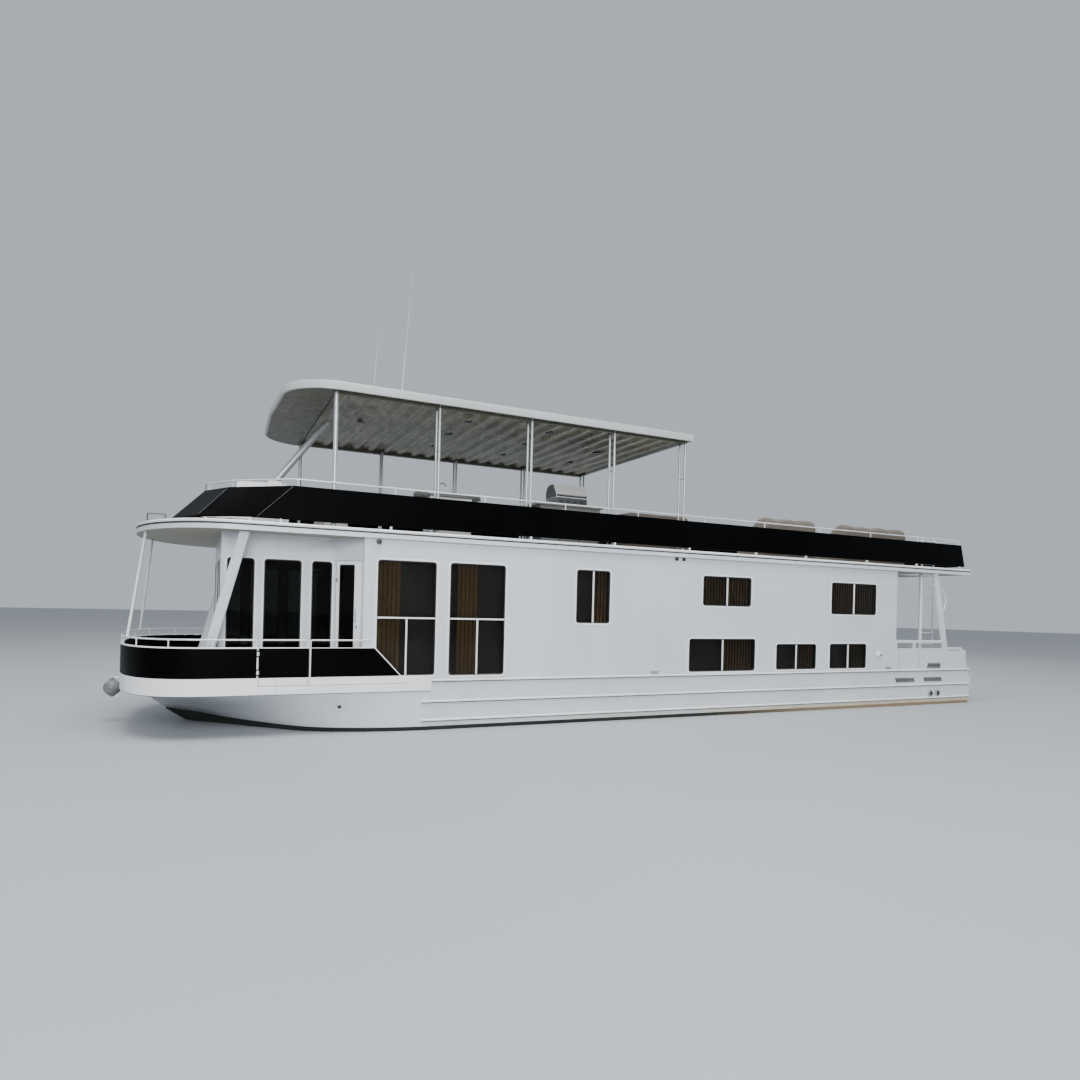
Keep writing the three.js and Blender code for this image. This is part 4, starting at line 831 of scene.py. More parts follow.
# Depths are the back and face of the leaf, of the seal and of the glass
def makeDoor(name, node, carry, span, light, depths, steel, steelName):
    body = nodes[node]["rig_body"]
    leaf, seal, glass = shapes(3)
    back, face, sealBack, sealFront, glassBack, glassFront = depths
    addPlate(leaf, carry, corners(*span), back, face, holes=[roundedLoop(*light, 0.030)])
    addSurround(seal, carry, grown(light, 0.001), 0.031, 0.016, sealBack, sealFront, 0.003)
    addPane(glass, carry, grown(light, -0.004), 0.028, glassBack, glassFront)
    addPiece(name, leaf, "trimWhite", body, (node,), bevel=0.004)
    addPiece(name + "_seal", seal, "rubberAndPaintedShadow", body)
    addPiece(name + "_glass", glass, "tintedGlass", body)
    addPiece(name + steelName, steel, "polished", body)


def makeHingedDoor(name, node, carry, half, rail, pull, stile):
    z0, z1 = doorHeights
    steel = bmesh.new()
    path = ((1.880, -0.002), (1.880, 0.048), (2.110, 0.048), (2.110, -0.002))
    addTube(steel, [carry(pull, v, depth) for v, depth in path], 0.009, bend=0.02)
    addBar(steel, carry, pull - 0.018, pull + 0.018, 1.770, 1.820, -0.002, 0.010)
    edge, depth, plate = half + 0.004, hinge["offset"], hinge["plate"]
    for z in hinge["heights"]:
        at, tall = carry(edge, z, depth), up * hinge["half"]
        addTube(steel, [at - tall, at + tall], hinge["radius"])
        addBar(steel, carry, edge - hinge["reach"], edge, z - plate, z + plate, -0.004, depth + 0.003, 0.002)
    light = (-half + stile, half - rail, z0 + rail + 0.02, z1 - rail)
    depths = (-0.036, 0.0, -0.030, -0.006, -0.022, -0.014)
    makeDoor(name, node, carry, (-half, half, z0, z1), light, depths, steel, "_fittings")


def makeSlidingDoor():
    y0, y1, z0, z1 = slidingDoor["leaf"]
    left, right, low, high = slidingDoor["frame"]
    light = (y0 + left, y1 - right, z0 + low, z1 - high)
    steel = bmesh.new()
    addBar(steel, facingAhead, *slidingDoor["pull"])
    makeDoor("sliding_door", "front_door", facingAhead, slidingDoor["leaf"], light, slidingDoor["depths"],
             steel, "_pull")


for sideName, sideSign in sides.items():
    cornerFrame = turnedFrame(6.230, 2.040, 45, sideSign)
    makeHingedDoor("corner_door_" + sideName, "porch_door_" + sideName, cornerFrame, *cornerDoor)
makeHingedDoor("stern_door", "aft_door", turnedFrame(-7.010, 0, 180), *sternDoor)
makeSlidingDoor()
print("doors made")

# Rails round the bow: top tube, cap on the panels, posts with flanges, leaning posts up to the roof
bowRails = {
    "radius": 0.013, "postRadius": 0.011, "postPitch": 0.62, "inset": 0.020, "hoopY": 2.420, "aftEnd": 5.920,
    "leanRadius": 0.024, "leanFootY": 1.530, "leanHeadY": 0.990, "foot": flange(0.019, 0.006, 0.010, 0.014),
    "wallFoot": flange(0.026, 0.005, 0.010, 0.016),
}
# Gates: black above the toe rail, white below it, with a white cap and a hoop of tube
gate = {
    "x0": 6.910, "x1": 7.680, "thick": 0.040, "hinges": (1.060, 1.360), "latch": (1.180, 1.240),
    "hoopIn": 0.030,
}
rake = {"foot": 5.370, "head": 5.830}   # aft end of the side panels


def makeBowRail():
    style, rail, top = bowRails, level["bowRail"], level["bulwark"]
    shape = bmesh.new()
    line = bowLine(deckPlan, gate["x1"] + 0.036, style["inset"])
    addTube(shape, [(x, y, rail) for x, y in line], style["radius"])
    for x, y in spaced(line, style["postPitch"]):
        addPost(shape, x, y, top + 0.001, rail, style["postRadius"])
        addRound(shape, (x, y, top + 0.0005), up, style["foot"])
    for side in sides.values():
        footY, headY = style["leanFootY"], style["leanHeadY"]
        foot = (frontAt(deckPlan, footY, style["inset"]), side * footY, rail)
        head = (frontAt(roofPlan, headY, 0.060), side * headY, level["roofUnder"] - 0.004)
        addTube(shape, [foot, head], style["leanRadius"], sides=16)
        addRound(shape, (head[0], head[1], head[2] - 0.012), up, [(0, 0.040), (0.012, 0.044)])
    addPiece("bow_rail_tubes", shape, "railPaint", stands=("bow_rail",))


def makePanelTrim():
    low, top, x0, x1 = level["toe"], level["bulwark"], gate["x0"], gate["x1"]
    cap = bmesh.new()
    addMoulding(cap, bowLine(deckPlan, x1 + 0.012, 0.020), top + 0.002, [
        (-0.022, -0.010), (0.022, -0.010), (0.022, 0.004), (0.014, 0.010), (-0.014, 0.010), (-0.022, 0.004)])
    addPiece("bow_panel_cap", cap, "trimWhite")
    foot, head, y = rake["foot"], rake["head"], deckSide
    for label, side in sides.items():
        carry = abeam(side)
        edges, panel, hoop = shapes(3)
        for x in (x0 - 0.020, x1 + 0.020):
            addBar(edges, carry, x - 0.011, x + 0.011, low + 0.002, top + 0.010, y - 0.0005, y + 0.006)
        slant = [(foot, low + 0.001), (foot + 0.018, low + 0.001), (head + 0.018, top + 0.005),
                 (head - 0.004, top + 0.005)]
        bridge(edges, layered(carry, [(slant, y - 0.004), (slant, y + 0.007)]))
        addBar(edges, carry, head, x0 - 0.009, top - 0.002, top + 0.006, y - 0.042, y + 0.003)
        addPiece("panel_trim_" + label, edges, "trimWhite")
        outline = [(foot, low + 0.001), (x0 - 0.008, low + 0.001), (x0 - 0.008, top), (head, top)]
        addPlate(panel, carry, outline, y - gate["thick"], y)
        hoopY, aftEnd, rail = bowRails["hoopY"], bowRails["aftEnd"], level["bowRail"]
        path = ((x0 - 0.025, top - 0.010, hoopY), (x0 - 0.025, rail, hoopY), (aftEnd, rail, hoopY),
                (aftEnd, rail, wallSide - 0.004))
        addTube(hoop, [carry(*spot) for spot in path], bowRails["radius"], bend=0.03)
        addRound(hoop, carry(aftEnd, rail, wallSide - 0.001), carry(0, 0, 1), bowRails["wallFoot"])
        addPiece("side_panel_" + label, panel, "blackPanel", stands=("bulwark_" + label,), bevel=0.003)
        addPiece("side_hoop_" + label, hoop, "railPaint")


def makeGate(label, side):
    body, carry = f"gate_{label}_leaf", abeam(side)
    black, white, hoop, plates = shapes(4)
    x0, x1, face, back = gate["x0"], gate["x1"], deckSide, deckSide - gate["thick"]
    toe, top, rail = level["toe"], level["bulwark"], level["bowRail"]
    addBar(black, carry, x0, x1, toe + 0.0005, top, back, face)
    addBar(white, carry, x0, x1, level["gateFoot"], toe, back, face + 0.001)
    addBar(white, carry, x0 + 0.001, x1 - 0.001, top - 0.004, top + 0.010, back - 0.001, face + 0.002)
    aft, fore, hoopY = x0 + gate["hoopIn"], x1 - gate["hoopIn"], bowRails["hoopY"]
    path = ((aft, top - 0.010), (aft, rail), (fore, rail), (fore, top - 0.010))
    addTube(hoop, [carry(u, v, hoopY) for u, v in path], bowRails["radius"], bend=0.04)
    for x in (aft, fore):
        addRound(hoop, carry(x, top + 0.0105, hoopY), up, bowRails["foot"])
    for z in gate["hinges"]:
        at, half = carry(x1 + 0.004, z, face + hinge["offset"]), up * hinge["half"]
        addTube(white, [at - half, at + half], hinge["radius"])
        addBar(plates, carry, x1 - 0.041, x1 + 0.004, z - 0.026, z + 0.026, face - 0.004, face + 0.017, 0.002)
    addBar(plates, carry, x0 + 0.012, x0 + 0.060, *gate["latch"], face - 0.002, face + 0.010, 0.002)
    addPiece("gate_panel_" + label, black, "blackPanel", body, ("gate_" + label,))
    addPiece("gate_foot_" + label, white, "trimWhite", body)
    addPiece("gate_hoop_" + label, hoop, "railPaint", body)
    addPiece("gate_fittings_" + label, plates, "blackPanel", body)


makeBowRail()
makePanelTrim()
for sideName, sideSign in sides.items():
    makeGate(sideName, sideSign)
print("bow rails and gates made")

# Hardtop: shell with a pressed ceiling, frames of tube, conduit and antennas
hardtop = {
    "aft": -0.670, "front": 7.420, "half": 2.490, "corner": (0.870, 0.850), "seam": 6.560, "liningIn": 0.062,
    "pressings": 21, "dent": 0.015, "postY": 2.300, "postRadius": 0.038, "pairY": (2.120, 2.305),
    "pairRadius": 0.023, "postX": (6.550, 4.745, 2.935, 1.120, -0.600), "links": (4.250, 4.985),
    "beam": (-0.620, 6.600),
    "lamps": [(5.741, 0.367), (3.930, 1.480), (3.930, 0.280), (3.930, -1.030), (2.180, 1.480), (2.180, 0.280),
              (2.180, -1.030), (0.400, 0.280), (0.400, -1.050)],
}
# Across one pressing, in shares of its pitch, and up from the hardtop's underside
pressing = [(-0.5, 0.064), (-0.26, 0.062), (-0.15, 0.020), (0.15, 0.020), (0.26, 0.062), (0.5, 0.064),
            (0.5, 0.081), (-0.5, 0.081)]


def canopyOutline(margin, steps=14):
    reach, drop = hardtop["corner"]
    arc = []
    for i in range(steps + 1):
        turn = math.pi / 2 * i / steps
        arc.append((hardtop["front"] - 0.060 - reach * (1 - math.sin(turn)) - margin * math.sin(turn),
                    hardtop["half"] - drop * (1 - math.cos(turn)) - margin * math.cos(turn)))
    port = [(hardtop["aft"] + margin, hardtop["half"] - margin), *arc]
    return [(x, -y) for x, y in port] + [(hardtop["front"] - margin, 0)] + port[::-1]


# Uneven pressing of the ceiling: upwards only, so that no rib hangs lower than the plain ones
def pressed(x, y, z, free):
    dent = max(0.0, min(1.0, 0.5 + 1.3 * noise.noise((x * 1.2, y * 2.4, 0.3))))
    return Vector((x, y, z + hardtop["dent"] * dent * free))


def makeHardtop():
    low, high, seam = level["canopyUnder"], level["canopyTop"], hardtop["seam"]
    shell, front, ceiling, strip, lamps, lenses = shapes(6)
    rim = [(0.0, low + 0.006), (0.0, high - 0.030), (0.010, high - 0.008), (0.034, high), (0.060, high),
           (0.060, low + 0.080), (0.044, low + 0.070), (0.040, low + 0.004), (0.010, low)]
    bridge(shell, layered(onDeck, [(canopyOutline(margin), z) for margin, z in rim]), closed=True)
    addPlate(shell, onDeck, canopyOutline(0.055), low + 0.082, high)
    addPiece("hardtop_shell", shell, "canopyShell", stands=("canopy_top",))
    side = hardtop["half"] - 0.038
    nose = [(seam, -side), *[(x, y) for x, y in canopyOutline(0.038) if x > seam - 0.01], (seam, side)]
    addPlate(front, onDeck, nose, low + 0.010, low + 0.078)
    addPiece("hardtop_nose_lining", front, "noseLiningPaintedShade", bevel=0.006)
    half, aft = hardtop["half"] - hardtop["liningIn"], hardtop["aft"] + hardtop["liningIn"]
    pitch = (seam - 0.03 - aft) / hardtop["pressings"]
    for i in range(hardtop["pressings"]):
        x = aft + pitch * (i + 0.5)
        rings = []
        for k in range(45):
            y = -half + 2 * half * k / 44
            rings.append([pressed(x + pitch * u, y, low + v, v < 0.08) for u, v in pressing])
        bridge(ceiling, rings)
    addPiece("hardtop_ceiling", ceiling, "ceilingPanelPaintedShade", smooth=50)
    addBox(strip, (seam - 0.014, -half, low + 0.004), (seam + 0.006, half, low + 0.014))
    addPiece("hardtop_seam_strip", strip, "rubberAndPaintedShadow")
    bezel = [(0, 0.085), (0.022, 0.085), (0.030, 0.074), (0.024, 0.060)]
    for x, y in hardtop["lamps"]:
        addRound(lamps, (x, y, low + 0.050), -up, bezel)
        addRound(lenses, (x, y, low + 0.040), -up, [(0, 0.058), (0.014, 0.056), (0.017, 0.030)])
    addPiece("hardtop_lamps", lamps, "darkPlasticAndPaintedShade")
    addPiece("hardtop_lenses", lenses, "tintedGlass")


def makeFrames():
    under = level["canopyUnder"]
    first, *paired = hardtop["postX"]
    for label, side in sides.items():
        shape, beam = shapes(2)
        y = side * hardtop["postY"]
        inner, outer = (side * away for away in hardtop["pairY"])
        posts = [(first, y, hardtop["postRadius"], 24)]
        posts += [(x, away, hardtop["pairRadius"], 16) for x in paired for away in (inner, outer)]
        for x, away, radius, facets in posts:
            addPost(shape, x, away, onRoof, under + 0.058, radius, facets)
            addRound(shape, (x, away, onRoof), up, [(0, radius + 0.028), (0.008, radius + 0.028),
                                                    (0.014, radius + 0.010), (0.045, radius + 0.007)])
        for x in paired:
            for z in hardtop["links"]:
                addTube(shape, [(x, inner, z), (x, outer, z)], 0.013)
        addPiece("hardtop_posts_" + label, shape, "postMetal", stands=("canopy_frame_" + label,))
        addBar(beam, onDeck, *hardtop["beam"], y - 0.025, y + 0.025, under + 0.058, under - 0.018, -0.006)
        for x in paired:
            span = (x - 0.028, x + 0.028, min(inner, y) - 0.024, max(inner, y) + 0.024)
            addBar(beam, onDeck, *span, under + 0.057, under - 0.014, -0.005)
        addPiece("hardtop_beam_" + label, beam, "noseLiningPaintedShade")


def makeConduit():
    shape = bmesh.new()
    addTube(shape, [(7.272, 0, 4.512), (6.330, 0, 5.780)], 0.065, sides=28)
    addRound(shape, (7.280, 0, 4.5005), up, [(0, 0.098), (0.008, 0.098), (0.020, 0.086), (0.045, 0.080)])
    addPiece("conduit_tube", shape, "postMetal", stands=("canopy_conduit",))


antennas = {"antenna_port": (5.470, 2.420), "antenna_centre": (5.420, -0.340)}
anchorLight = {"x": 6.0, "tall": 0.62, "radius": 0.009}


def makeAntennas():
    high = level["canopyTop"]
    lean = Vector((-0.140, 0, 2.050))
    for node, (x, y) in antennas.items():
        shape = bmesh.new()
        foot = [(0, 0.034), (0.010, 0.034), (0.018, 0.020), (0.10, 0.017), (0.12, 0.014)]
        addRound(shape, (x, y, high + 0.001), up, foot)
        start = Vector((x, y, high + 0.10))
        for k, radius in enumerate((0.013, 0.009, 0.006)):
            addTube(shape, [start + lean * (k / 3), start + lean * ((k + 1) / 3)], radius)
        addPiece(node + "_whip", shape, "postMetal", stands=(node,))
    pole = bmesh.new()
    x, top = anchorLight["x"], high + anchorLight["tall"]
    addPost(pole, x, 0, high, top, anchorLight["radius"])
    addRound(pole, (x, 0, high), up, flange(0.04, 0.010, 0.025, 0.018))
    lantern = [(0, 0.018), (0.02, 0.024), (0.07, 0.024), (0.085, 0.018), (0.09, 0.008)]
    addRound(pole, (x, 0, top - 0.01), up, lantern)
    addPiece("anchor_light", pole, "darkPlasticAndPaintedShade")


makeHardtop()
makeFrames()
makeConduit()
makeAntennas()
print("hardtop made")

# Upper deck panels: leaning sheets drawn between a lower and an upper edge, creased at the corners
upperCorner = [
    # x and y at the lower edge, x and y at the upper edge
    (-9.460, 2.430, -9.390, 2.375), (7.770, 2.430, 7.200, 2.375), (8.610, 2.170, 8.150, 1.580),
    (8.990, 1.400, 8.500, 0.900),
]
panelSpans = {"port": (0, 1), "front": (1, 6), "starboard": (6, 7), "aft": (7, 8)}   # from corner to corner
panelStyle = {
    "thick": 0.035, "pitch": 0.20,
    "clipX": (7.40, 5.60, 2.95, 1.12, -0.70, -2.49, -3.96, -5.92, -7.67, -9.30), "clipY": 2.395,
    "footBar": ((8.560, 2.140), (7.830, 2.385), 3.524), "blocks": ((8.500, 2.150), (7.860, 2.368)),
    "hoopX": (9.130, 9.410), "hoopY": 0.300, "hoopTop": 3.700,
}


# The four edges of the sheets at each corner: lower and upper outside, upper and lower inside, mitred
def panelEdges():
    loop = upperCorner + [(x, -y, topX, -topY) for x, y, topX, topY in upperCorner[::-1]]
    low = [Vector((x, y, level["panelUnder"])) for x, y, _, _ in loop]
    high = [Vector((x, y, level["panelTop"])) for _, _, x, y in loop]
    edges = []
    for i in range(len(loop)):
        inward = []
        for run in (low[i] - low[i - 1], low[(i + 1) % len(loop)] - low[i]):
            inward.append(run.cross(high[i] - low[i]).normalized())
        mitre = (inward[0] + inward[1]) / (1 + inward[0].dot(inward[1])) * panelStyle["thick"]
        edges.append([low[i], high[i], high[i] + mitre, low[i] + mitre])
    return edges


def makeUpperPanels():
    style = panelStyle
    edges = panelEdges()
    edges.append(edges[0])
    seams, feet, bars, hoop = shapes(4)
    for ending, (first, last) in panelSpans.items():
        shape, node = bmesh.new(), "upper_bulwark_" + ending
        columns = []
        for start, end in zip(edges[first:last], edges[first + 1:last + 1]):
            count = max(2, round((end[0] - start[0]).length / style["pitch"]))
            columns += [[a.lerp(b, k / count) for a, b in zip(start, end)] for k in range(count)]
        bridge(shape, columns + [edges[last]])
        addPiece("sheet_" + node, shape, "blackPanel", stands=(node,), bevel=0.003, smooth=12)
        for corner in edges[first:last]:
            addTube(seams, [corner[0].lerp(corner[1], share) for share in (0.02, 0.99)], 0.0035, sides=8)
    addPiece("panel_seams", seams, "darkMetal")
    *barEnds, barZ = style["footBar"]
    for side in sides.values():
        for x in style["clipX"]:
            y = side * style["clipY"]
            addBox(feet, (x - 0.018, y - 0.026, onRoof), (x + 0.018, y + 0.026, level["panelUnder"] + 0.020))
        addTube(bars, [(x, side * y, barZ) for x, y in barEnds], 0.017)
        for x, y in style["blocks"]:
            addBox(bars, (x - 0.020, side * y - 0.020, onRoof), (x + 0.020, side * y + 0.020, barZ))
    addPiece("panel_clips", feet, "trimWhite", bevel=0.004)
    addPiece("panel_foot_bars", bars, "trimWhite")
    (aft, fore), y, top = style["hoopX"], style["hoopY"], style["hoopTop"]
    addTube(hoop, [(aft, y, onRoof), (aft, y, top), (fore, y, top), (fore, y, onRoof)], 0.011, bend=0.02)
    for x in (aft, fore):
        addRound(hoop, (x, y, onRoof), up, flange(0.030, 0.006, 0.012, 0.016))
    addPiece("roof_hoop", hoop, "darkMetal")


# Upper deck rail in round tube
def makeUpperRail():
    shape = bmesh.new()
    port = [(x - 0.012, y - 0.022) for _, _, x, y in upperCorner]
    loop = port + [(x, -y) for x, y in port[::-1]]
    addTube(shape, [(x, y, level["upperRail"]) for x, y in loop], 0.013, bend=0.12, closed=True)
    aft, corner, bays = Vector(port[0]), Vector(port[1]), 10
    posts = port[1:] + [aft.lerp(corner, i / bays) for i in range(bays)]
    for x, y in posts:
        x = x - 0.05 if x > 7 else max(x, -9.31)
        for side in sides.values():
            addPost(shape, x, side * y, level["panelTop"] + 0.001, level["upperRail"], 0.010)
    addPiece("upper_rail_tubes", shape, "railPaint", stands=("upper_rail",))


ladder = {
    "x": (-9.060, -8.600), "y": 1.850, "top": 4.250, "pitch": 0.300,
    "tread": ((-0.045, -0.010), (0.045, -0.010), (0.045, 0.008), (0.036, 0.014), (-0.036, 0.014),
              (-0.045, 0.008)),
}


# Ladder with round stiles and flat treads
def makeLadder():
    shape, y, deck = bmesh.new(), ladder["y"], level["deck"]
    for x in ladder["x"]:
        addPost(shape, x, y, deck + 0.001, ladder["top"], 0.022, 16)
        addRound(shape, (x, y, deck + 0.0008), up, flange(0.045, 0.008, 0.014, 0.030))
    z = deck + ladder["pitch"]
    while z < ladder["top"]:
        bridge(shape, [[Vector((x, y + u, z + v)) for u, v in ladder["tread"]] for x in ladder["x"]])
        z += ladder["pitch"]
    addPiece("ladder_tubes", shape, "railPaint", stands=("aft_ladder",))


makeUpperPanels()
makeUpperRail()
makeLadder()
print("rails made")

helmSeat = {
    "places": 3, "y": (-0.380, 1.080), "boxY": (-0.350, 1.050), "baseTop": 3.860, "gap": 0.006,
    # low x, low z, high x, high z
    "seat": (6.140, 3.860, 6.540, 3.975), "back": (6.035, 3.910, 6.120, 4.315),
    "inset": 0.014, "softEdge": 0.022, "piping": 0.005, "pipingIn": 0.010, "pipingCorner": 0.03,
}
padStyle = {
    "voxel": 0.012, "pressure": 4.0, "cap": 0.016, "frames": 20, "stiff": 12, "bending": 0.4, "mass": 0.3,
}


def settle(piece):
    bpy.context.view_layer.update()
    graph = bpy.context.evaluated_depsgraph_get()
    mesh = bpy.data.meshes.new_from_object(piece.evaluated_get(graph))
    piece.modifiers.clear()
    piece.data = mesh


# Soft pieces: a closed form remeshed, blown up by a short cloth run and capped
def puff(piece):
    style, scene = padStyle, bpy.context.scene
    grid = piece.modifiers.new("grid", "REMESH")
    grid.mode = "VOXEL"
    grid.voxel_size = style["voxel"]
    settle(piece)
    rest = [vertex.co.copy() for vertex in piece.data.vertices]
    cloth = piece.modifiers.new("cloth", "CLOTH")
    cloth.settings.quality = 5
    cloth.settings.mass = style["mass"]
    cloth.settings.tension_stiffness = style["stiff"]
    cloth.settings.compression_stiffness = style["stiff"]
    cloth.settings.bending_stiffness = style["bending"]
    cloth.settings.use_pressure = True
    cloth.settings.uniform_pressure_force = style["pressure"]
    cloth.settings.effector_weights.gravity = 0
    cloth.point_cache.frame_end = style["frames"]
    for step in range(1, style["frames"] + 1):
        scene.frame_set(step)
    settle(piece)
    scene.frame_set(1)
    for vertex, start in zip(piece.data.vertices, rest):
        move = vertex.co - start
        if move.length > style["cap"]:
            vertex.co = start + move.normalized() * style["cap"]
    smoothed = piece.modifiers.new("smoothed", "SMOOTH")
    smoothed.iterations = 2
    settle(piece)
    piece.modifiers.new("fine", "SUBSURF").levels = 1
    piece.data.polygons.foreach_set("use_smooth", [True] * len(piece.data.polygons))


def makeHelmSeat():
    style = helmSeat
    base, kick = shapes(2)
    (boxLow, boxHigh), (low, high), places = style["boxY"], style["y"], style["places"]
    addBox(base, (6.080, boxLow, onRoof), (6.500, boxHigh, style["baseTop"] - 0.004))
    addPiece("helm_seat_base", base, "trimWhite", bevel=0.03, steps=3)
    for k in range(places):
        y = boxLow + (boxHigh - boxLow) * (k + 0.5) / places
        addBar(kick, facingAhead, y - 0.20, y + 0.20, 3.540, 3.800, 6.499, 6.506)
    addPiece("helm_seat_doors", kick, "trimWhite")
    width, inset, edge = (high - low) / places, style["inset"], style["pipingIn"]
    for k in range(places):
        y0, y1 = low + width * k + style["gap"], low + width * (k + 1) - style["gap"]
        for part in ("seat", "back"):
            x0, z0, x1, z1 = style[part]
            pad, cord = shapes(2)
            addBox(pad, (x0 + inset, y0 + inset, z0 + inset), (x1 - inset, y1 - inset, z1 - inset))
            bmesh.ops.bevel(pad, geom=pad.edges[:], offset=style["softEdge"], segments=3, profile=0.5,
                            affect="EDGES")
            piece = addPiece(f"helm_{part}_pad_{k + 1}", pad, "seatVinyl",
                             stands=("helm_seat",) if k == 0 and part == "seat" else ())
            puff(piece)
            if part == "seat":
                span, carry, depth = (x0, x1, y0, y1), onDeck, z1 - inset - 0.016
            else:
                span, carry, depth = (y0, y1, z0, z1), facingAhead, x1 - inset - 0.014
            loop = roundedLoop(*grown(span, -edge), style["pipingCorner"])
            addTube(cord, [carry(u, v, depth) for u, v in loop], style["piping"], closed=True, sides=8)
            addPiece(f"helm_{part}_piping_{k + 1}", cord, "darkPlasticAndPaintedShade")


# A cloth cover drawn over a sofa or locker and gathered at its hem: one open sheet with a thickness
covers = {
    # piece: x0, x1, section, node, flat width and length, flat area
    "sofa_cover_fore": (-4.830, -3.160, "sofa", "covered_sofa_fore", (3.0, 3.3), 5.9),
    "sofa_cover_aft": (-7.950, -5.650, "sofa", "covered_sofa_aft", (3.0, 3.9), 7.6),
    "locker_cover": (-1.250, 0.420, "locker", "deck_locker", (2.4, 3.3), 5.2),
}
coverSections = {
    # y and z from the outboard hem, over the top, to the inboard hem
    "sofa": [(1.903, 3.500), (1.922, 4.315), (1.872, 4.415), (1.760, 4.448), (1.610, 4.432), (1.440, 4.262),
             (1.050, 4.116), (0.908, 4.010), (0.908, 3.500)],
    "locker": [(1.692, 3.500), (1.692, 4.312), (1.058, 4.312), (1.058, 3.500)],
}
coverStyle = {
    "corner": {"sofa": 0.16, "locker": 0.06}, "along": 0.024, "around": 96, "endDepth": 0.16, "endRings": 22,
    "fold": 0.018, "gather": 0.010, "foot": 3.500, "hem": 3.640, "lowest": 3.486, "heart": 3.95,
    "thick": 0.0025, "sag": 0.034, "dips": {"sofa": 0.034, "locker": 0}, "supports": 0.62,
}


# How far the cloth stands in from its fullest form: long soft folds, drawn-in creases and hem pleats
def foldAt(x, y, z, seed):
    style = coverStyle
    long = noise.noise((x * 1.1 + seed, y * 3.0, z * 2.2))
    drawn = abs(noise.noise((x * 2.6 + seed, (y + z) * 1.5, seed)))
    fine = noise.noise((x * 11, y * 8 + seed, z * 8))
    gather = max(0.0, 1 - (z - style["foot"]) / (style["hem"] - style["foot"] + 0.30))
    pleat = math.sin(x * 40 + y * 38 + 4 * noise.noise((x * 2, y * 2, seed))) * gather
    return style["fold"] * (0.5 * long - 1.0 * drawn + 0.14 * fine) + style["gather"] * (pleat - gather)


def makeCover(name, seed):
    style = coverStyle
    x0, x1, section, node, flat, area = covers[name]
    outline = [Vector((0, y, z)) for y, z in coverSections[section]]
    loop = filleted(outline, style["corner"][section], False, 8)
    loop = spaced(loop, lengthOf(loop) / style["around"])
    middle, foot = (loop[0].y + loop[-1].y) / 2, style["foot"]
    turns = [math.pi / 2 * k / style["endRings"] for k in range(style["endRings"])]
    # how far in from the end, and how far the arch has opened out there: upright low down, rounded at the top
    spans = [(style["endDepth"] * (1 - math.cos(turn)) ** 2.2, math.sin(turn) ** 0.8) for turn in turns]
    start, end = x0 + style["endDepth"], x1 - style["endDepth"]
    count = round((x1 - x0 - 2 * style["endDepth"]) / style["along"])
    rows = [(x0 + depth, grow) for depth, grow in spans]
    rows += [(start + (end - start) * k / count, 1.0) for k in range(count + 1)]
    rows += [(x1 - depth, grow) for depth, grow in spans[::-1]]
    shape = bmesh.new()
    made = []
    for x, grow in rows:
        dip = style["dips"][section] * abs(math.sin(math.pi * (x - x0) / style["supports"])) ** 0.7
        ring = []
        for p in loop:
            y = middle + (p.y - middle) * max(grow, 0.02)
            z = foot + (p.z - foot) * max(grow, 0.02)
            normal = Vector((0, p.y - middle, p.z - style["heart"])).normalized()
            push = foldAt(x, y, z, seed * 7.3) * min(1.0, 0.3 + grow)
            lower = (style["sag"] - dip) * min(1.0, max(0.0, (z - 4.0) / 0.45))
            spot = (x, y + normal.y * push, max(style["lowest"], z + normal.z * push - lower))
            ring.append(shape.verts.new(spot))
        made.append(ring)
    for low, high in zip(made, made[1:]):
        for i in range(len(low) - 1):
            shape.faces.new((low[i], low[i + 1], high[i + 1], high[i]))
    size = sum(face.calc_area() for face in shape.faces)
    piece = addPiece(name, shape, "tanFabric", stands=(node,), smooth=180)
    thick = piece.modifiers.new("thick", "SOLIDIFY")
    thick.thickness = style["thick"]
    thick.offset = -1
    print(name, "made, cloth", round(size, 2), "square metres")


dash = {
    "foot": (7.050, 0, 4.230), "rise": 0.110, "run": 0.130, "gauges": 5,
    "switches": (-0.52, -0.44, -0.36, -0.28, -0.20),
}
wheel = {"centre": (6.990, 0.350, 4.190), "rim": 0.190, "grips": 12, "spokes": (90, 210, 330)}


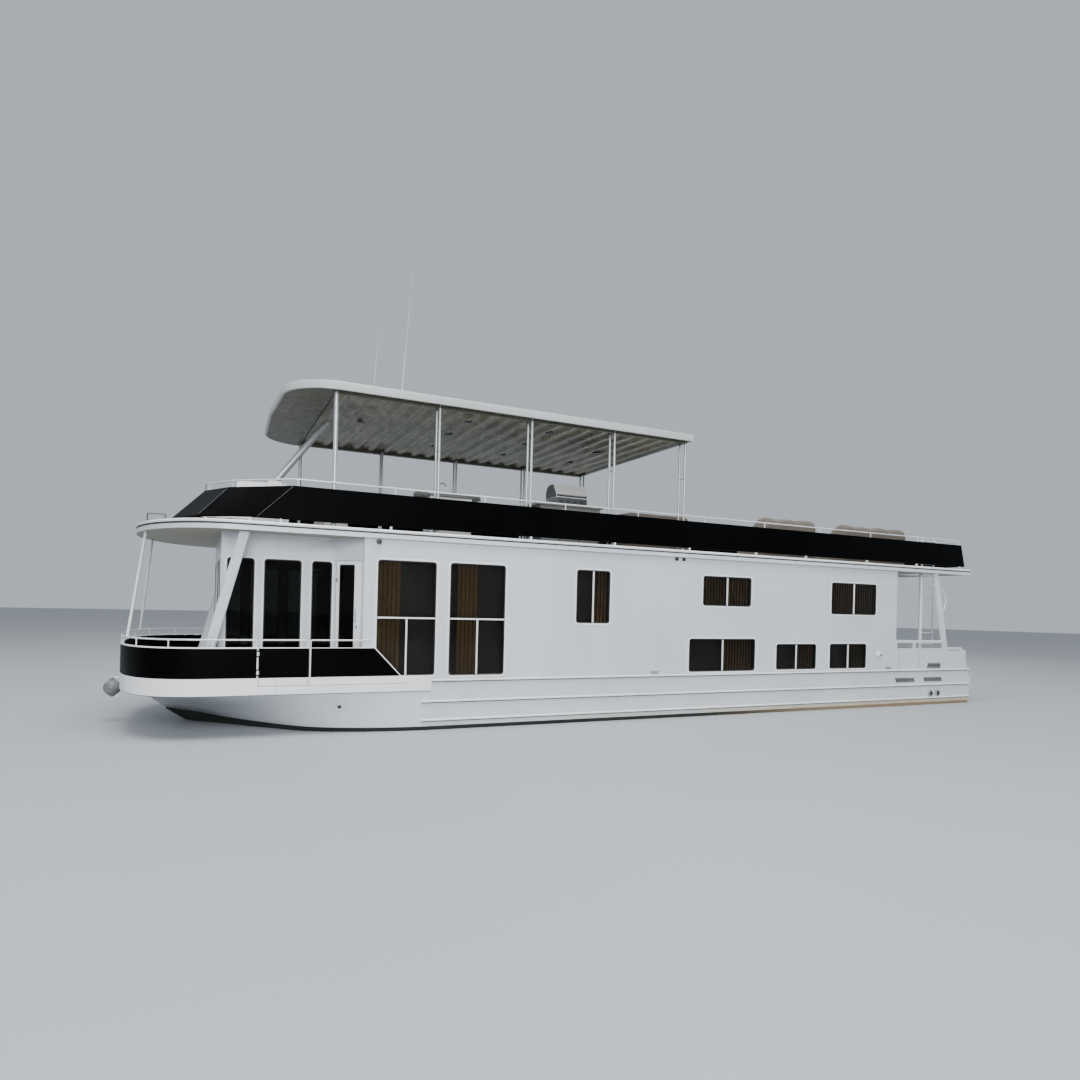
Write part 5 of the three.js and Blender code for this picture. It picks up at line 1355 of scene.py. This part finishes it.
def makeHelm():
    steel, dark, lens, levers, rimShape, spokes = shapes(6)
    lean = math.atan2(dash["rise"], dash["run"])
    slope = Vector((math.cos(lean), 0, math.sin(lean)))
    out = Vector((-slope.z, 0, slope.x))

    def face(u, v, depth):
        return Vector(dash["foot"]) + slope * v + Vector((0, u, 0)) + out * depth
    addBar(dark, face, -0.62, 0.72, 0.016, 0.156, 0.0005, 0.010)
    for k in range(dash["gauges"]):
        at = face(0.125 * k, 0.090, 0.009)
        addRound(steel, at, out, [(0, 0.046), (0.010, 0.046), (0.014, 0.040), (0.010, 0.038)])
        addRound(lens, at, out, [(0.002, 0.037), (0.009, 0.036)])
    for y in dash["switches"]:
        addRound(steel, face(y, 0.060, 0.009), out, [(0, 0.014), (0.008, 0.013), (0.012, 0.006)])
        addTube(steel, [face(y, 0.060, 0.016), face(y, 0.068, 0.036)], 0.004)
    addPiece("dash_panel", dark, "darkPlasticAndPaintedShade")
    addPiece("dash_fittings", steel, "polished")
    addPiece("dash_glass", lens, "clearLens")
    knob = [(0, 0.010), (0.01, 0.018), (0.03, 0.018), (0.042, 0.008)]
    for y in (-0.26, -0.18):
        addRound(levers, (7.240, y, 4.338), up, [(0, 0.040), (0.022, 0.037), (0.036, 0.026)])
        addTube(levers, [(7.240, y, 4.365), (7.205, y, 4.440)], 0.008)
        addRound(levers, (7.205, y, 4.430), (-0.3, 0, 1), knob)
    addPiece("engine_levers", levers, "darkPlasticAndPaintedShade")
    centre, rim = Vector(wheel["centre"]), wheel["rim"]
    addTube(rimShape, circle(centre, Vector((0, 1, 0)), up, rim, 48), 0.014, closed=True)
    for k in range(wheel["grips"]):
        a = 2 * math.pi * k / wheel["grips"]
        at = centre + rim * Vector((-0.02, math.cos(a), math.sin(a)))
        run = Vector((0, -math.sin(a), math.cos(a)))
        addTube(rimShape, [at - run * 0.022, at + run * 0.022], 0.010)
    addRound(spokes, centre + Vector((0.0595, 0, 0)), (-1, 0, 0),
             [(0, 0.024), (0.05, 0.024), (0.055, 0.046), (0.075, 0.046), (0.089, 0.030), (0.093, 0.010)])
    for degrees in wheel["spokes"]:
        a = math.radians(degrees)
        tip = centre + rim * Vector((0, math.cos(a), math.sin(a)))
        addTube(spokes, [centre + Vector((-0.012, 0, 0)), tip], 0.008)
    addPiece("wheel_rim", rimShape, "darkPlasticAndPaintedShade", "wheel", ("steering_wheel",))
    addPiece("wheel_spokes", spokes, "polished", "wheel")


wetBar = {
    "centre": (4.190, 1.150, 4.370), "half": (0.69, 0.36), "cabinet": (0.42, 0.23), "doors": (0.205, 0.19),
    "edge": ((0.030, -0.070), (0.006, -0.064), (0, -0.040), (0.004, -0.012), (0.024, 0.0)),   # in, up
    # x across and height of the spout
    "spout": ((4.380, 0), (4.380, 0.160), (4.355, 0.205), (4.305, 0.222), (4.255, 0.205), (4.230, 0.160),
              (4.230, 0.130)),
}


def makeBar():
    top, base, tap, doors = shapes(4)
    x, y, z = wetBar["centre"]
    (long, wide), (deep, across) = wetBar["half"], wetBar["cabinet"]
    ring = [(math.cos(2 * math.pi * k / 56), math.sin(2 * math.pi * k / 56)) for k in range(56)]
    bridge(top, [[Vector((x + (long - inset) * u, y + (wide - inset) * v, z + lift)) for u, v in ring]
                 for inset, lift in wetBar["edge"]])
    addBox(base, (x - deep, y - across, onRoof), (x + deep, y + across, z - 0.071))
    away, half = wetBar["doors"]
    for side in sides.values():
        for middle in (x - away, x + away):
            span = (middle - half, middle + half, 3.580, 4.220)
            addBar(doors, lambda u, v, depth: Vector((u, y + side * depth, v)), *span, 0.2295, 0.238)
    addTube(tap, [(at, y, z + lift) for at, lift in wetBar["spout"]], 0.012, bend=0.05, sides=14)
    addRound(tap, (4.380, y, z), up, flange(0.030, 0.010, 0.024, 0.018))
    addTube(tap, [(4.380, y + 0.02, z + 0.05), (4.380, y + 0.09, z + 0.07)], 0.006)
    addRound(tap, (x, y, z + 0.001), up, [(0, 0.150), (0.004, 0.150), (0.004, 0.135), (0.001, 0.125)])
    addPiece("bar_top", top, "counterTop", stands=("wet_bar",))
    addPiece("bar_cabinet", base, "trimWhite", bevel=0.012)
    addPiece("bar_doors", doors, "trimWhite")
    addPiece("bar_tap", tap, "polished")


grill = {
    "face": 1.611, "front": 1.5545, "hoodLow": 4.486, "cheeks": (1.300, 2.015),
    "doors": ((1.080, 1.490, 3.56, 4.22), (1.520, 1.930, 3.56, 4.22), (1.960, 2.360, 3.56, 3.86),
              (1.960, 2.360, 3.90, 4.22)),
    # y and height over the hood's foot
    "outline": ((1.066, 0), (1.536, 0), (1.536, 0.062), (1.392, 0.262), (1.222, 0.264), (1.150, 0.236),
                (1.094, 0.172), (1.066, 0.100)),
}


def makeGrillFittings():
    steel, dark, cheeks, panel, handle = shapes(5)
    face, front, low, port = grill["face"], grill["front"], grill["hoodLow"], abeam(1)
    for u0, u1, v0, v1 in grill["doors"]:
        addBar(steel, port, u0, u1, v0, v1, face - 0.002, face + 0.010)
        left, right, z = (u0 + u1) / 2 - 0.1, (u0 + u1) / 2 + 0.1, v1 - 0.06
        addTube(dark, [(left, face + 0.008, z), (left, face + 0.034, z), (right, face + 0.034, z),
                       (right, face + 0.008, z)], 0.006, bend=0.01)
    for k in range(4):
        addRound(dark, (1.420 + 0.16 * k, 1.554, 4.400), (0, 1, 0),
                 [(0, 0.024), (0.018, 0.022), (0.030, 0.018), (0.034, 0.008)])
    addPiece("grill_doors", steel, "brushedSteel")
    addPiece("grill_handles", dark, "darkPlasticAndPaintedShade")
    for x in grill["cheeks"]:
        addPlate(cheeks, facingAhead, [(y, low + v) for y, v in grill["outline"]], x - 0.0035, x + 0.0035)
    addBar(cheeks, port, 1.306, 2.009, low + 0.006, low + 0.056, front - 0.005, front, 0.002)
    addPiece("grill_cheeks", cheeks, "darkMetal", "grill_hood")
    addBar(panel, port, 1.310, 2.005, 4.345, 4.462, front - 0.004, front, 0.002)
    addPiece("grill_control_panel", panel, "darkMetal")
    path = ((1.400, 1.552), (1.400, 1.586), (1.915, 1.586), (1.915, 1.552))
    addTube(handle, [(x, y, low + 0.032) for x, y in path], 0.008, bend=0.02)
    addPiece("grill_hood_handle", handle, "polished", "grill_hood")


# Roof edge: a moulding above a shallow groove in dark rubber, painted shadow under the moulding, and a band
# below it in the wall's paint
def makeRoofTrim():
    shape, band, shadowGroove, seal = shapes(4)
    line, under = bowLine(roofPlan, -9.680, 0.0, 56), level["roofUnder"]
    addMoulding(shape, line, level["roofTop"] - 0.036, [
        (-0.004, -0.014), (0.016, -0.012), (0.020, 0.0), (0.020, 0.014), (0.012, 0.026), (-0.004, 0.030)])
    addMoulding(band, line, under - 0.004, [(-0.008, 0.0), (0.008, 0.0), (0.008, 0.072), (-0.008, 0.076)])
    # the groove is a real recess; its near-black colour is painted shadow under the moulding
    addMoulding(shadowGroove, line, under + 0.074, [(-0.002, 0.0), (0.004, 0.0), (0.004, 0.022), (-0.002, 0.022)])
    span = (-7.000, 5.930, under - 0.016, under - 0.004)
    for side in sides.values():
        addBar(seal, abeam(side), *span, wallSide - 0.001, wallSide + 0.010, 0.002)
    addPiece("roof_moulding", shape, "trimWhite")
    addPiece("roof_edge_band", band, "cabinPaint")
    addPiece("roof_groove_painted_shadow", shadowGroove, "rubberAndPaintedShadow")
    addPiece("wall_head_seal", seal, "cabinPaint")


rubRails = {
    # z and front x of each
    "heights": ((0.180, 5.000), (0.510, 5.000), (0.880, 4.820)), "aft": -9.745, "fasciaAft": 4.830,
    "profile": ((2.4385, -0.020), (2.4540, -0.016), (2.4600, 0), (2.4540, 0.014), (2.4385, 0.020)),
}


def makeRubRails():
    aft = rubRails["aft"]
    seam = (5.250, gate["x0"] - 0.006, level["gateFoot"] - 0.003, level["gateFoot"] + 0.003)
    for label, side in sides.items():
        shape, shadowAndSeam = shapes(2)
        for z, front in rubRails["heights"]:
            ends = (aft, front - 0.004)
            bridge(shape, [[Vector((x, side * y, z + v)) for y, v in rubRails["profile"]] for x in ends])
            # a dark strip just under each rail: painted shadow of the rail
            span = (aft + 0.005, front - 0.010, z - 0.030, z - 0.021)
            addBar(shadowAndSeam, abeam(side), *span, hullSide, hullSide + 0.0245, 0.001)
        # a thin dark seam between the toe rail and the hull, by the gate
        addBar(shadowAndSeam, abeam(side), *seam, deckSide - 0.0005, deckSide + 0.0008, 0.0003)
        addPiece("rub_rail_" + label, shape, "trimWhite", smooth=80)
        addPiece("rub_rail_painted_shadow_and_seam_" + label, shadowAndSeam, "rubberAndPaintedShadow")
    # A thin dark strip under the bow fascia's lower edge: painted shadow of the fascia
    fasciaShadow = bmesh.new()
    addMoulding(fasciaShadow, bowLine(deckPlan, rubRails["fasciaAft"], 0.0), level["fascia"],
                [(-0.016, -0.008), (-0.006, -0.008), (-0.006, 0.001), (-0.016, 0.001)])
    addPiece("fascia_painted_shadow_line", fasciaShadow, "rubberAndPaintedShadow")


# A point on the port skin of a node's sides, seen from abeam
def skinAt(node, x, z):
    mesh = nodes[node].data
    tree = BVHTree.FromPolygons([v.co for v in mesh.vertices], [tuple(p.vertices) for p in mesh.polygons])
    return tree.ray_cast(Vector((x, 9, z)), Vector((0, -1, 0)))[:2]


def addCleat(shape, x, y, z, length=0.26):
    for off in (-0.045, 0.045):
        addRound(shape, (x + off, y, z), up, [(0, 0.026), (0.008, 0.026), (0.016, 0.014), (0.046, 0.013)])
    rings = []
    for k in range(13):
        share = abs(k / 6 - 1)   # 0 at the middle of the horn, 1 at its ends
        centre = Vector((x - length / 2 + length * k / 12, y, z + 0.050 + 0.010 * share ** 2))
        rings.append(circle(centre, Vector((0, 1, 0)), up, 0.014 * (1 - share ** 2 * 0.45), 10))
    bridge(shape, rings)


exhaustRim = [(0, 0.085), (0.008, 0.085), (0.012, 0.072), (0.045, 0.070), (0.045, 0.060), (0.006, 0.058)]
exhaustHole = [(0, 0.057), (0.008, 0.057)]
fittings = {
    # x, y, height over the deck, length
    "cleats": [(0.100, 2.412, 0.0015, 0.22), (-6.750, 2.412, 0.0015, 0.22), (9.250, 0.62, 0.001, 0.26),
               (-9.380, 1.98, 0.001, 0.26)],
    # which shape they go into, x, y, z and profile of the turned fittings on each side
    "turned": [
        ("steel", -8.250, 2.418, 0.285, exhaustRim), ("dark", -8.250, 2.419, 0.285, exhaustHole),
        ("steel", -8.510, 2.418, 0.285, exhaustRim), ("dark", -8.510, 2.419, 0.285, exhaustHole),
        ("white", -6.400, 2.389, 1.280, [(0, 0.075), (0.012, 0.075), (0.030, 0.060), (0.045, 0.030)]),
        ("dark", -6.440, 2.425, 1.262, [(0, 0.026), (0.012, 0.024), (0.014, 0.012)]),
        ("dark", 5.800, 2.389, 3.270, [(0, 0.045), (0.05, 0.042), (0.075, 0.036), (0.080, 0.020)]),
    ],
    "drain": (6.380, 0.450), "drainProfile": [(0, 0.032), (0.010, 0.032), (0.015, 0.025), (0.010, 0.018)],
    "vents": ((-7.680, -6.960), (-8.700, -7.990)), "ventZ": (0.585, 0.690), "ventSlant": 0.06, "slats": 5,
    "scupper": (-8.690, -8.130, 0.905, 1.055), "wallSeams": (-7.850, -7.140), "roofVents": (-0.394, -0.573),
}


def addHullVent(shape, carry, x0, x1):
    (z0, z1), slant, slats = fittings["ventZ"], fittings["ventSlant"], fittings["slats"]
    outline = [(x0, z0), (x1 - slant, z0), (x1, z1), (x0 + slant, z1)]
    inner = [(x0 + 0.05, z0 + 0.022), (x1 - slant - 0.035, z0 + 0.022), (x1 - 0.05, z1 - 0.022),
             (x0 + slant + 0.035, z1 - 0.022)]
    addPlate(shape, carry, outline, hullSide, hullSide + 0.0085, holes=[inner])
    for k in range(slats):
        z = z0 + 0.028 + (z1 - z0 - 0.056) * (k + 0.5) / slats
        shift = slant * (z - z0) / (z1 - z0)
        span = (x0 + 0.040 + shift, x1 - slant - 0.040 + shift, z - 0.0045, z + 0.0045)
        addBar(shape, carry, *span, hullSide, hullSide + 0.006, 0.001)


def makeDeckFittings():
    made = dict(zip(("steel", "dark", "vents", "white"), shapes(4)))
    steel, dark, vents, white = made.values()
    wall = wallSide - 0.001
    for side in sides.values():
        carry = abeam(side)
        for x, y, over, length in fittings["cleats"]:
            addCleat(steel, x, side * y, level["deck"] + over, length)
        for x0, x1 in fittings["vents"]:
            addHullVent(vents, carry, x0, x1)
        addSurround(steel, carry, fittings["scupper"], 0.070, 0.036, wall, wall + 0.013)
        addPane(vents, carry, grown(fittings["scupper"], -0.035), 0.036, wall, wall + 0.0035)
        for label, x, y, z, profile in fittings["turned"]:
            addRound(made[label], carry(x, z, y), carry(0, 0, 1), profile)
        skin, away = (Vector((v.x, side * v.y, v.z)) for v in skinAt("hull_topsides", *fittings["drain"]))
        addRound(dark, skin - away * 0.004, away, fittings["drainProfile"])
        for x in fittings["wallSeams"]:
            addBar(dark, carry, x - 0.004, x + 0.004, 0.940, 1.400, wall + 0.0002, wall + 0.0022, 0.0005)
        for x in fittings["roofVents"]:
            addSurround(white, carry, (x - 0.070, x + 0.070, 3.235, 3.329), 0.014, 0.018, wall, wall + 0.009)
            addBar(dark, carry, x - 0.044, x + 0.044, 3.247, 3.321, wall - 0.001, wall + 0.012, 0.002)
    addPiece("deck_cleats", steel, "polished")
    addPiece("hull_vents", vents, "ventMesh")
    addPiece("dark_fittings", dark, "darkPlasticAndPaintedShade")
    addPiece("white_fittings", white, "trimWhite")


sternRails = {
    "y": 2.365, "pillar": (-8.360, 2.02),
    # x and z along the grab rail
    "grab": ((-8.540, 3.000), (-8.640, 2.980), (-8.830, 2.780), (-8.850, 2.600), (-8.790, 2.400),
             (-8.680, 2.370)),
}


def makeSternRails():
    high, coaming = level["aftRail"] + 0.004, level["coaming"] + 0.004
    for label, side in sides.items():
        shape = bmesh.new()
        y = side * sternRails["y"]
        addTube(shape, [(x, y, z) for x, z in sternRails["grab"]], 0.015, bend=0.12, sides=14)
        addTube(shape, [(-7.030, y, high), (-8.860, y, high)], 0.020)
        path = ((-8.900, y, coaming), (-9.500, y, coaming), (-9.560, y, coaming - 0.064))
        addTube(shape, path, 0.018, bend=0.06)
        x, pillarY = sternRails["pillar"]
        addPost(shape, x, side * pillarY, level["deck"] + 0.001, level["roofUnder"] - 0.001, 0.045, 20)
        addPiece("stern_rail_" + label, shape, "railPaint")


fender = {"x": 9.9103, "z": 0.610, "radius": 0.139, "ridge": 0.003, "stem": 9.7603}


def makeFender():
    ball, white = shapes(2)
    x, z, radius, stem = fender["x"], fender["z"], fender["radius"], fender["stem"]
    profile = []
    for k in range(25):
        a = math.pi * k / 24
        ridge = fender["ridge"] * (math.cos(12 * a) > 0.6)
        profile.append((-radius * math.cos(a), (radius - 0.002 + ridge) * math.sin(a)))
    addRound(ball, (x, 0, z), up, profile, 36)
    addRound(ball, (x, 0, z), up, [(0.130, 0.045), (0.160, 0.040), (0.175, 0.028), (0.192, 0.028)])
    addRound(ball, (x, 0, z), -up, [(0.130, 0.045), (0.150, 0.040), (0.160, 0.020)])
    addBox(white, (stem, -0.022, 0.785), (x + 0.028, 0.022, 0.8085))
    addBox(white, (stem, -0.060, 0.730), (stem + 0.008, 0.060, 0.864))
    stay = ((x, 0, z - 0.155), (x - 0.02, 0, z - 0.180), (9.690, 0, 0.560), (9.630, 0, 0.640))
    addTube(white, stay, 0.012, bend=0.05)
    addPiece("fender_ball", ball, "fenderSkin", stands=("bow_fender",))
    addPiece("fender_bracket", white, "trimWhite", bevel=0.003)


makeHelm()
makeHelmSeat()
makeBar()
makeGrillFittings()
for coverSeed, coverName in enumerate(covers):
    makeCover(coverName, coverSeed)
print("upper deck made")
makeRoofTrim()
makeRubRails()
makeDeckFittings()
makeSternRails()
makeFender()
print("fittings made")
